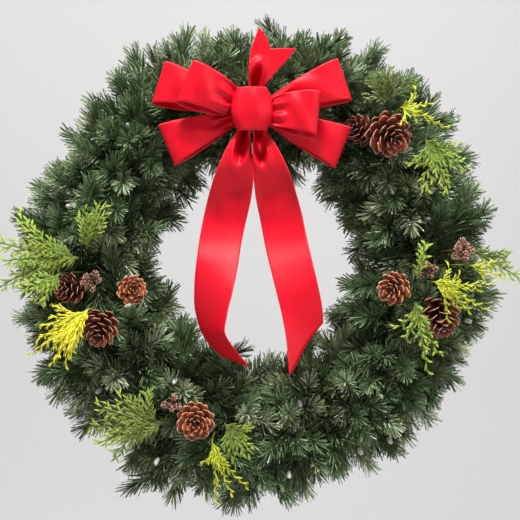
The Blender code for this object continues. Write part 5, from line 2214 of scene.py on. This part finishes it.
@dataclass(frozen=True)
class PineCones:
    """The eight pine cones, each on its pick."""

    shape: ConeShape = ConeShape()
    pick_radius: float = 0.0011
    full: float = 0.94
    heart: tuple[Span, ...] = ((-0.44, 0.3), (-0.2, 0.42), (0.1, 0.34), (0.34, 0.1))

    def build(self, shop: Workshop, tree: NodeTree) -> list[Object]:
        """Makes the cones, each in its own one of the two finishes, and returns them.

        Args:
            shop: makes the pieces.
            tree: the tree that sets the scales.

        Returns:
            The eight cones.
        """
        scale, wood = self.shape.scale(shop), strand_tree()
        pick_finish = PICK_WIRE.material()
        finishes = {False: BROWN_SCALES.material(), True: RUSTY_SCALES.material()}
        pieces = []
        for number, spot in enumerate(CONES):
            finish = finishes[spot.rusty]
            cone = self.shape.cone(
                shop, tree, spot.middle, spot.axis, Scale=scale, Length=spot.length,
                Radius=spot.radius * self.full, Seed=300 + 10 * number, Finish=finish,
            )
            foot = RING.on_bundle(spot.middle, self.pick_radius)
            stalk = spot.middle - spot.axis * spot.length * 0.36
            line = rounded_path([foot, foot.lerp(stalk, 0.5), stalk, spot.middle], 4)
            core = Strand(
                [spot.middle + spot.axis * spot.length * along for along, _ in self.heart],
                [spot.radius * width for _, width in self.heart],
            )
            source = shop.strand_object([Strand.plain(line, self.pick_radius)])
            pick = shop.grown("pick", source, wood, Finish=pick_finish)
            heart = shop.grown("heart", shop.strand_object([core]), wood, Sides=10, Finish=finish)
            name = f"pine_cone_{number + 1}"
            pieces.append(shop.hand_over(shop.joined(name + "_scales", [cone, heart, pick]), Slot.CONE, name))
        shop.remove(scale)
        return pieces


@dataclass(frozen=True)
class SeedClusters:
    """Bunches of small brown husks, each husk a tiny cone on a short stalk."""

    husks: tuple[int, ...] = (6, 4, 9, 6)
    husk_length: float = 0.013
    husk_radius: float = 0.0066
    pick_radii: Place = (0.0013, 0.0011, 0.0009)
    stalk_radius: float = 0.0008
    scales: int = 18
    open_foot: float = math.radians(24)
    open_tip: float = math.radians(74)
    first_reach: float = 0.008
    reach_step: float = 0.0012
    seed: int = 33

    def build(self, shop: Workshop, tree: NodeTree) -> None:
        """Makes one piece for each cluster.

        Args:
            shop: makes the pieces.
            tree: the tree that sets the scales.
        """
        shape, finish = ConeShape(), HUSK_SCALES.material()
        scale, wood = shape.scale(shop, 2, 2), strand_tree()
        draw = random.Random(self.seed)
        for number, spot in enumerate(SEED_SPOTS):
            middle = RING.place(*spot)
            foot = RING.on_bundle(middle, 0.0012)
            away = (middle - foot).normalized()
            side = away.orthogonal().normalized()
            parts = []
            stalks = [Strand([foot, foot.lerp(middle, 0.5), middle], list(self.pick_radii))]
            for index in range(self.husks[number]):
                around = Matrix.Rotation(GOLDEN_ANGLE * index + number, 3, away) @ side
                heading = (around * draw.uniform(0.5, 1.0) + away * draw.uniform(0.2, 0.9)).normalized()
                centre = middle + heading * (self.first_reach + self.reach_step * index)
                parts.append(shape.cone(
                    shop, tree, centre, heading, Scale=scale, Count=self.scales, Length=self.husk_length,
                    Radius=self.husk_radius, Open_foot=self.open_foot, Open_tip=self.open_tip,
                    Seed=500 + 10 * index, Finish=finish,
                ))
                stalk = [middle - heading * 0.002, centre, centre + heading * self.husk_length * 0.25]
                stalks.append(Strand(stalk, [self.stalk_radius, self.husk_radius * 0.42, 0.0012]))
            parts.append(shop.grown("stalks", shop.strand_object(stalks), wood, Finish=finish))
            name = f"seed_cluster_{number + 1}"
            shop.hand_over(shop.joined(name + "_husks", parts), Slot.HUSK, name)
        shop.remove(scale)


# ---------------------------------------------------------------- lights
@dataclass(frozen=True)
class LightString:
    """The light string: a cord behind the ring, a lead to each lamp, its socket and its bulb."""

    cord_radius: float = 0.0012
    ring_radius: float = 0.266
    ring_depth: float = 0.015
    rise_out: float = 0.002
    rise_depth: float = 0.01
    lamp_length: float = 0.03
    lamp_lean: float = 0.35
    end_gap: float = 8
    end_reaches: tuple[float, ...] = (-1.3, -0.6, 0.6, 1.3)
    end_radii: tuple[float, ...] = (0.0018, 0.003, 0.003, 0.0018)
    strand_off: float = 0.62
    strand_radius: float = 0.58
    twists: int = 52
    twist_steps: int = 336
    lead_off: float = 0.0007
    lead_radius: float = 0.0006
    lead_bend: float = 0.006
    lead_overrun: float = 0.001
    socket_profile: tuple[Span, ...] = (
        (0.001, 0.0), (0.0022, 0.0004), (0.0028, 0.002), (0.0028, 0.0046), (0.0034, 0.005),
        (0.0034, 0.0076), (0.0038, 0.008), (0.0038, 0.009), (0.0026, 0.0092),
    )
    bulb_profile: tuple[Span, ...] = (
        (0.002, 0.008), (0.003, 0.0095), (0.0036, 0.013), (0.0038, 0.018), (0.0035, 0.0235),
        (0.0026, 0.027), (0.0012, 0.029), (0.0005, 0.0298), (0.0001, 0.03),
    )

    def lamp_points(self, angle: float, radius: float, depth: float) -> tuple[list[Vector], Vector]:
        """A lamp's lead, from the cord behind the ring forwards, and the tip of its bulb.

        Args:
            angle: where the lamp is on the ring, in degrees.
            radius: the radius where its tip is.
            depth: the depth where its tip is.

        Returns:
            The points of the lead, and the tip.
        """
        out = RING.polar(angle, 1, 0) - RING.polar(angle, 0, 0)
        rise = RING.polar(angle, self.ring_radius + self.rise_out, RING.bundle_depth + self.rise_depth)
        socket = RING.polar(angle, radius, depth - self.lamp_length)
        lean = (FRONT + out * self.lamp_lean).normalized()
        return [self.on_cord(angle), rise, socket], socket + lean * self.lamp_length

    def on_cord(self, angle: float) -> Vector:
        """The middle of the cord at an angle."""
        return RING.polar(angle, self.ring_radius, self.ring_depth)

    def socket_shape(self, shop: Workshop) -> Object:
        """A socket on the Z axis: a ribbed sleeve with a collar."""
        return shop.link("socket", lathe("socket", self.socket_profile))

    def bulb_shape(self, shop: Workshop) -> Object:
        """A bulb on the Z axis, which starts inside its socket and ends in a drawn tip.

        Args:
            shop: makes the pieces.

        Returns:
            The bulb.
        """
        mesh = lathe("bulb", self.bulb_profile)
        lowest, highest = self.bulb_profile[0][1], self.bulb_profile[-1][1]
        mark(mesh, "along", [(vertex.co.z - lowest) / (highest - lowest) for vertex in mesh.vertices])
        return shop.link("bulb", mesh)

    def tree(self) -> NodeTree:
        """The tree that sets a socket and a bulb on the end of each lead.

        Returns:
            The tree.
        """
        sketch = GeometrySketch("lamps_on_leads")
        socket, bulb = sketch.named("Socket", "Object"), sketch.named("Bulb", "Object")
        plastic, glass = sketch.named("Socket finish", "Material"), sketch.named("Bulb finish", "Material")
        rotation = sketch.aligned(sketch.attribute("facing", "FLOAT_VECTOR"))
        return sketch.finish(
            sketch.copies(sketch.geometry, sketch.shape_of(socket), rotation, plastic),
            sketch.copies(sketch.geometry, sketch.shape_of(bulb), rotation, glass),
        )

    def cord_strands(self) -> list[Strand]:
        """The two twisted strands of the cord, and the end socket at each of its ends.

        Returns:
            The strands.
        """
        found = []
        first, last = 90 + self.end_gap, 450 - self.end_gap
        for phase in (0.0, math.pi):
            line = []
            for share in even(self.twist_steps):
                twist = phase + share * math.tau * self.twists
                radius = self.ring_radius + self.cord_radius * self.strand_off * math.cos(twist)
                depth = self.ring_depth + self.cord_radius * self.strand_off * math.sin(twist)
                line.append(RING.polar(first + (last - first) * share, radius, depth))
            found.append(Strand.plain(line, self.cord_radius * self.strand_radius))
        for angle in (first, last):
            ends = [self.on_cord(angle + reach) for reach in self.end_reaches]
            found.append(Strand(ends, list(self.end_radii)))
        return found

    def build(self, shop: Workshop) -> None:
        """Makes the whole string as one piece.

        Args:
            shop: makes the pieces.
        """
        strands = self.cord_strands()
        roots, directions = [], []
        for spot in LAMP_SPOTS:
            lead, tip = self.lamp_points(*spot)
            heading = (tip - lead[-1]).normalized()
            bend, end = lead[-1] - heading * self.lead_bend, lead[-1] + heading * self.lead_overrun
            path = rounded_path([*lead[:-1], bend, end], 4)
            side = heading.orthogonal().normalized() * self.lead_off
            for offset in (-side, side):
                strands.append(Strand.plain([point + offset for point in path], self.lead_radius))
            roots.append(lead[-1])
            directions.append(heading)
        source, finish = shop.strand_object(strands), CORD_PLASTIC.material()
        cords = shop.grown("cords", source, strand_tree(), Sides=6, Finish=finish)
        socket, bulb = self.socket_shape(shop), self.bulb_shape(shop)
        source = shop.facing_points("lamp_roots", roots, directions)
        lamps = shop.grown(
            "lamps", source, self.tree(), Socket=socket, Bulb=bulb,
            Socket_finish=SOCKET_PLASTIC.material(), Bulb_finish=BulbFinish().material(),
        )
        shop.remove(socket, bulb)
        shop.hand_over(shop.joined("light_string_wired", [cords, lamps]), Slot.LIGHTS, "light_string")


# ---------------------------------------------------------------- wires
@dataclass(frozen=True)
class Wires:
    """The ring with its clamps, the hanger and the wire that ties the bow on."""

    clamp_radius: float = 0.012
    clamp_wire: float = 0.0015
    ring_steps: int = 144
    hanger_wire: float = 0.0011
    hanger_leg: float = 0.0022
    hanger_shift: float = 0.004
    tie_wire: float = 0.001
    tie_spread: float = 0.006
    tie_depth: float = 0.012

    def clamp_tree(self) -> NodeTree:
        """The tree that sets a wire clamp round the ring at each of its points.

        Returns:
            The tree.
        """
        sketch = GeometrySketch("clamps_on_ring")
        radius, wire = sketch.numbers(Clamp_radius=self.clamp_radius, Wire_radius=self.clamp_wire)
        finish = sketch.named("Finish", "Material")
        sockets = {"Curve": sketch.circle(28, radius), "Profile Curve": sketch.circle(8, wire)}
        clamp = sketch.smooth(sketch.out("GeometryNodeCurveToMesh", sockets))
        rotation = sketch.aligned(sketch.attribute("facing", "FLOAT_VECTOR"))
        return sketch.finish(sketch.copies(sketch.geometry, clamp, rotation, finish))

    def build(self, shop: Workshop) -> None:
        """Makes the three wire pieces.

        Args:
            shop: makes the pieces.
        """
        green, bare, tubes = GREEN_WIRE.material(), BARE_WIRE.material(), strand_tree()
        turns = [360 * step / self.ring_steps for step in range(self.ring_steps)]
        circle = [RING.polar(turn, RING.radius, RING.depth) for turn in turns]
        source = shop.strand_object([Strand.plain(circle, RING.wire, closed=True)])
        ring = shop.grown("ring", source, tubes, Sides=10, Finish=green)
        angles = [RING.sector_angle(index) for index in range(RING.bunches)]
        places = [RING.polar(angle, RING.radius, RING.bundle_depth) for angle in angles]
        source = shop.facing_points("clamp_places", places, [RING.outwards(angle + 90) for angle in angles])
        clamps = shop.grown("clamps", source, self.clamp_tree(), Finish=green)
        shop.hand_over(shop.joined("ring_with_clamps", [ring, clamps]), Slot.FRAME_WIRE, "wire_frame")
        loop = rounded_path(self.hanger_points(), 6, closed=True)
        source = shop.strand_object([Strand.plain(loop, self.hanger_wire, closed=True)])
        hanger = shop.grown("hanger_wire_loop", source, tubes, Finish=bare)
        shop.hand_over(hanger, Slot.TIE_WIRE, "hanger_loop")
        source = shop.strand_object([Strand.plain(rounded_path(self.tie_points(), 6), self.tie_wire)])
        shop.hand_over(shop.grown("bow_tie_wire", source, tubes, Finish=bare), Slot.TIE_WIRE, "bow_tie")

    def hanger_points(self) -> list[Vector]:
        """A loop from the nail, down round the ring's wire at the top and back.

        Returns:
            The points of the loop.
        """
        top = RING.place(0, RING.radius, RING.depth)
        wrap = RING.wire + self.hanger_wire + RING.touch_gap
        leg = self.hanger_leg
        half = [
            Vector((0.003, -0.0028, 0.0036)),
            Vector((0.0078, -0.0032, -0.001)),
            Vector((0.0078, -0.007, -0.011)),
            Vector((leg + 0.0028, top.y + wrap + 0.0012, top.z + 0.005)),
            Vector((leg, top.y + wrap, top.z - 0.001)),
            Vector((leg, top.y + wrap * 0.3, top.z - wrap - 0.0004)),
            Vector((leg, top.y - wrap, top.z - 0.001)),
        ]
        shift = Vector((self.hanger_shift, 0, 0))
        other = [Vector((-p.x, p.y, p.z)) for p in reversed(half)]
        return [p + shift * max(0.0, min(1.0, -p.z / 0.03)) for p in half + other]

    def tie_points(self) -> list[Vector]:
        """From the knot's back, round the ring's wire and back to the knot.

        Returns:
            The points of the wire.
        """
        around = RING.wire + self.tie_wire + RING.touch_gap
        knot_back = KNOT.depth - KNOT.size[1] / 2 - self.tie_wire - 0.001
        front = RING.bundle_depth + self.tie_depth
        return [
            RING.place(KNOT.x, KNOT.height + self.tie_spread, knot_back),
            RING.polar(TIE_ANGLE, RING.radius + around, front),
            RING.polar(TIE_ANGLE, RING.radius + around, RING.depth),
            RING.polar(TIE_ANGLE, RING.radius, RING.depth - around),
            RING.polar(TIE_ANGLE, RING.radius - around, RING.depth),
            RING.polar(TIE_ANGLE, RING.radius - around, front),
            RING.place(KNOT.x, KNOT.height - self.tie_spread, knot_back),
        ]


# ---------------------------------------------------------------- the bow
@dataclass(frozen=True)
class Bow:
    """The satin bow: its knot, six loops, the short end that stands up and the two that hang.

    The shapes are given at u along the ribbon, from 0 to 1, and s across it, from -1 to 1.
    """

    thickness: float = 0.0006
    columns: int = 22
    rows: int = 60
    pleats: float = 2.5
    pleat_depth: float = 0.0034
    pleat_fade: Span = (1.4, 3.2)
    loop_lift: float = 1.3
    loop_crown: float = 0.003
    loop_wave: float = 0.0017
    waves_along: float = 1.9
    waves_across: float = 0.55
    loop_slack: float = 2.05
    loop_ends: float = 0.012
    bowl_middle: float = 0.4
    bowl_half: Span = (0.6, 0.66)
    bowl_fade: Span = (1.25, 1.1)
    bowl_start: float = 3
    bowl_rim: float = 0.42
    rim_width: float = 0.22
    rim_start: Span = (2, 0.5)
    edge_lift: float = 0.006
    edge_fade: float = 0.9
    fold_fade: Span = (1.2, 1.6)
    sag_middle: float = 1.32
    sag_half: float = 0.3
    knot_inset: float = 0.001
    knot_pinch: float = 0.2
    knot_pull: float = 0.3
    knot_spread: float = 1.7
    knot_crown: float = 0.006
    knot_crease: float = 0.0011
    knot_creases: float = 11
    crease_slant: float = 1.7
    knot_length: float = 0.154

    def ribbon(
        self,
        shop: Workshop,
        name: str,
        shape: Callable[[float, float], Vector],
        length: float,
        finish: Material,
    ) -> Object:
        """A strip of ribbon with its UV map in metres and its thickness.

        Args:
            shop: makes the object.
            name: the piece's name.
            shape: gives the point at u and s.
            length: the strip's length along, in metres.
            finish: its material.

        Returns:
            The finished piece.
        """
        bm = bmesh.new()
        bmesh.ops.create_grid(bm, x_segments=self.rows, y_segments=self.columns, size=1)
        layer = bm.loops.layers.uv.new("ribbon")
        for face in bm.faces:
            for corner in face.loops:
                u, s = (corner.vert.co.x + 1) / 2, corner.vert.co.y
                corner[layer].uv = (u * length, s * RIBBON / 2)
        for vertex in bm.verts:
            vertex.co = shape((vertex.co.x + 1) / 2, vertex.co.y)
        mesh = mesh_of(bm, name)
        mesh.materials.append(finish)
        obj = shop.link(name, mesh)
        wall = obj.modifiers.new("thickness", "SOLIDIFY")
        wall.thickness = self.thickness
        wall.offset = 0
        solid = shop.evaluated(obj)
        shop.remove(obj)
        return shop.link(name, solid)

    def pleat(self, half: float, s: float, phase: float = 0.0) -> float:
        """How far gathered ribbon stands forward at s, where its half width is drawn in to this.

        Args:
            half: half of the width that it is drawn in to.
            s: how far across it, from -1 to 1.
            phase: where the pleats start, in radians.

        Returns:
            The distance, in metres.
        """
        slack = max(0.0, RIBBON / 2 / half - 1)
        depth = min(self.pleat_depth, 2 * half / self.pleats / math.pi * math.sqrt(slack))
        return depth * math.cos(math.pi * self.pleats * (s + 1) + phase)

    def loop_point(self, loop: BowLoop, u: float, s: float) -> Vector:
        """A point of a loop: out along the front, round the fold and back to the knot behind.

        Args:
            loop: the loop.
            u: how far along the ribbon, from 0 to 1.
            s: how far across it, from -1 to 1.

        Returns:
            The point.
        """
        turn = math.tau * u
        share = (1 - math.cos(turn)) / 2
        out = loop.root + (loop.reach - loop.root) * share
        half = loop.root_half_width + (RIBBON / 2 - loop.root_half_width) * share ** loop.widen
        arch = self.loop_lift * loop.bulge * math.sin(turn) * math.sin(turn / 2)
        lift = arch + loop.root_gap * math.cos(turn / 2)
        start, fall = self.pleat_fade
        pleat = self.pleat(half, s, loop.angle) * smooth_step(start - fall * share)
        swell = math.sin(math.pi * share)
        crown = -self.loop_crown * swell * s * s * (1 if u < 0.5 else -1)
        waves = self.waves_along * share + self.waves_across * s
        wave = self.loop_wave * math.sin(math.tau * waves + loop.angle) * swell
        depth = loop.root_depth + (loop.tip_depth - loop.root_depth) * share + lift + pleat + crown + wave
        heading, side = RING.outwards(loop.angle), RING.outwards(loop.angle + 90)
        upward = side if side.z > 0 else -side
        return KNOT.middle(depth) + heading * out + side * s * half + upward * loop.tilt * lift

    def end_point(self, end: RibbonEnd, u: float, s: float) -> Vector:
        """A point of a free end, hollow under the knot and then rolling over to hang flat.

        Args:
            end: the free end.
            u: how far along the ribbon, from 0 to 1.
            s: how far across it, from -1 to 1.

        Returns:
            The point.
        """
        cut = max(0.0, end.slant) * (1 - s) / 2 - min(0.0, end.slant) * (1 + s) / 2
        u = u * (1 - end.notch * (1 - abs(s)) - cut)
        x, height, depth, half, turn = catmull_rom(end.rows, u)
        before, after = (catmull_rom(end.rows, u + step) for step in (-0.02, 0.02))
        heading = Vector((after[0] - before[0], 0, after[1] - before[1])).normalized()
        side = Vector((-heading.z, 0, heading.x)) * (1 if heading.z < 0 else -1)
        turn = math.radians(turn)
        across = side * math.cos(turn) + FRONT * math.sin(turn)
        level = u / end.hollow_end
        long, wide = self.bowl_half
        spread = math.hypot((level - self.bowl_middle) / long, (s - end.hollow_side) / wide)
        full, fall = self.bowl_fade
        bowl = -end.hollow * smooth_step(full - spread * fall) * smooth_step(level * self.bowl_start)
        roll = math.exp(-((spread - 1.0) / self.rim_width) ** 2)
        rise, start = self.rim_start
        rim = self.bowl_rim * end.hollow * roll * smooth_step(level * rise - start)
        edges = self.edge_lift * s * s * max(0.0, 1 - level * self.edge_fade)
        sag = -end.sag * (1 - s * s) * math.exp(-((level - self.sag_middle) / self.sag_half) ** 2)
        start, fall = self.fold_fade
        fold = self.pleat(half, s) * smooth_step(start - fall * level)
        return RING.place(x, height, depth + bowl + rim + edges + fold + sag) + across * half * s

    def knot_point(self, u: float, s: float) -> Vector:
        """A point of the knot's band, which goes round from the pinch behind, by the front, and back.

        Args:
            u: how far along the ribbon, from 0 to 1.
            s: how far across it, from -1 to 1.

        Returns:
            The point.
        """
        turn = math.tau * u
        width, thick, tall = KNOT.size
        across = math.sin(turn) * (width / 2 - self.knot_inset)
        forward = -math.cos(turn) * (thick / 2 - self.knot_inset)
        front = (1 - math.cos(turn)) / 2
        half = tall / 2 * (self.knot_pinch + (1 - self.knot_pinch) * smooth_step(front * self.knot_spread))
        pull = 1 - self.knot_pull * s * s
        crown = -self.knot_crown * s * s * front
        creases = self.knot_creases * across / width + self.crease_slant * s
        crease = self.knot_crease * math.sin(creases) * front
        depth = KNOT.depth + forward + crown + crease + self.pleat(half, s) * (1 - front)
        return RING.place(KNOT.x + across * pull, KNOT.height + half * s, depth)

    def build(self, shop: Workshop) -> list[Object]:
        """Makes the ten pieces of the bow and returns them.

        Args:
            shop: makes the pieces.

        Returns:
            The pieces.
        """
        satin = SatinFinish().material()
        pieces = []
        for loop in BOW_LOOPS:
            length = self.loop_slack * (loop.reach - loop.root) + self.loop_ends
            piece = self.ribbon(shop, loop.name + "_satin", partial(self.loop_point, loop), length, satin)
            shop.hand_over(piece, Slot.SATIN, loop.name)
            pieces.append(piece)
        for end in (TAIL_LEFT, TAIL_RIGHT, TOP_END):
            piece = self.ribbon(shop, end.name + "_satin", partial(self.end_point, end), end.length, satin)
            shop.hand_over(piece, Slot.SATIN, end.name)
            pieces.append(piece)
        knot = self.ribbon(shop, "bow_knot_satin", self.knot_point, self.knot_length, satin)
        shop.hand_over(knot, Slot.SATIN, "bow_knot")
        return [*pieces, knot]


# ---------------------------------------------------------------- studio
@dataclass(frozen=True)
class Softbox:
    """A square light that isn't seen itself: its side, its power in watts and the point it faces."""

    name: str
    place: Place
    size: float
    power: float
    aim: Place = (0, -0.08, -0.28)

    def build(self) -> None:
        """Sets up the light."""
        data = bpy.data.lights.new(self.name, "AREA")
        data.shape = "SQUARE"
        data.size = self.size
        data.energy = self.power
        lamp = bpy.data.objects.new(self.name, data)
        lamp.location = self.place
        lamp.rotation_mode = "QUATERNION"
        lamp.rotation_quaternion = (Vector(self.aim) - lamp.location).to_track_quat("-Z", "Y")
        lamp.visible_camera = False
        bpy.context.scene.collection.objects.link(lamp)


@dataclass(frozen=True)
class Studio:
    """A plain pale sweep, soft lights and the camera."""

    floor_level: float = -2.1
    back: float = 5.0
    bend: float = 1.4
    bend_steps: int = 16
    half_width: float = 6.0
    front: float = -5.0
    top: float = 5.0
    air: Colour = (1.0, 0.99, 0.98)
    air_strength: float = 0.26
    camera_distance: float = 2.5
    camera_shift: float = 0.0015
    lens: float = 111.7
    softboxes: tuple[Softbox, ...] = (
        Softbox("softbox_above", (-0.3, -1.8, 2.9), 0.8, 210),
        Softbox("softbox_left", (-2.6, -1.8, 0.4), 1.8, 8),
        Softbox("softbox_right", (2.6, -1.8, 0.3), 1.8, 34),
        Softbox("softbox_behind", (0.6, 2.8, 1.6), 2.2, 30),
        Softbox("backdrop_light", (0.0, 1.6, 2.6), 3.0, 78, (0, 5.0, -0.4)),
    )

    def sweep(self, shop: Workshop) -> None:
        """The floor and the backdrop, one curved sheet.

        Args:
            shop: makes the pieces.
        """
        profile = [(self.front, self.floor_level)]
        for step in range(self.bend_steps + 1):
            turn = math.pi / 2 * step / self.bend_steps
            y = self.back - self.bend + self.bend * math.sin(turn)
            z = self.floor_level + self.bend - self.bend * math.cos(turn)
            profile.append((y, z))
        profile.append((self.back, self.top))
        bm = bmesh.new()
        rows = [[bm.verts.new((x, y, z)) for x in (-self.half_width, self.half_width)] for y, z in profile]
        for (a, b), (c, d) in zip(rows, rows[1:]):
            bm.faces.new((a, b, d, c))
        mesh = mesh_of(bm, "studio_sweep")
        mesh.materials.append(StudioFinish().material())
        shop.link("studio_sweep", mesh)

    def build(self, shop: Workshop) -> None:
        """Sets up the sweep, the lights, the world and the camera.

        Args:
            shop: makes the pieces.
        """
        self.sweep(shop)
        for softbox in self.softboxes:
            softbox.build()
        world = bpy.data.worlds.new("studio_air")
        world.use_nodes = True
        background = world.node_tree.nodes["Background"]
        background.inputs["Color"].default_value = (*self.air, 1)
        background.inputs["Strength"].default_value = self.air_strength
        scene = bpy.context.scene
        scene.world = world
        scene.view_settings.view_transform = "Standard"
        data = bpy.data.cameras.new("camera")
        data.lens = self.lens
        camera = bpy.data.objects.new("camera", data)
        camera.location = (self.camera_shift, -self.camera_distance, self.camera_shift - RING.below_nail)
        camera.rotation_euler = (math.pi / 2, 0, 0)
        scene.collection.objects.link(camera)
        scene.camera = camera


def main() -> None:
    """Loads the frame, dresses it and sets up the studio."""
    logging.basicConfig(level=logging.INFO, format="%(name)s: %(message)s")
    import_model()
    shop = Workshop()
    bow = Bow().build(shop)
    cone_tree = ConeShape().tree()
    cones = PineCones().build(shop, cone_tree)
    SeedClusters().build(shop, cone_tree)
    Fronds().build(shop)
    LightString().build(shop)
    Wires().build(shop)
    copies = [shop.link("kept_clear", piece.data.copy()) for piece in (*bow, *cones)]
    clear_of = shop.joined("kept_clear", copies)
    FirBunches().build(shop, clear_of)
    shop.remove(clear_of)
    Studio().build(shop)
    LOG.info("%d pieces made", len(shop.made))
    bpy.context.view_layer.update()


if __name__ == "__main__":
    main()
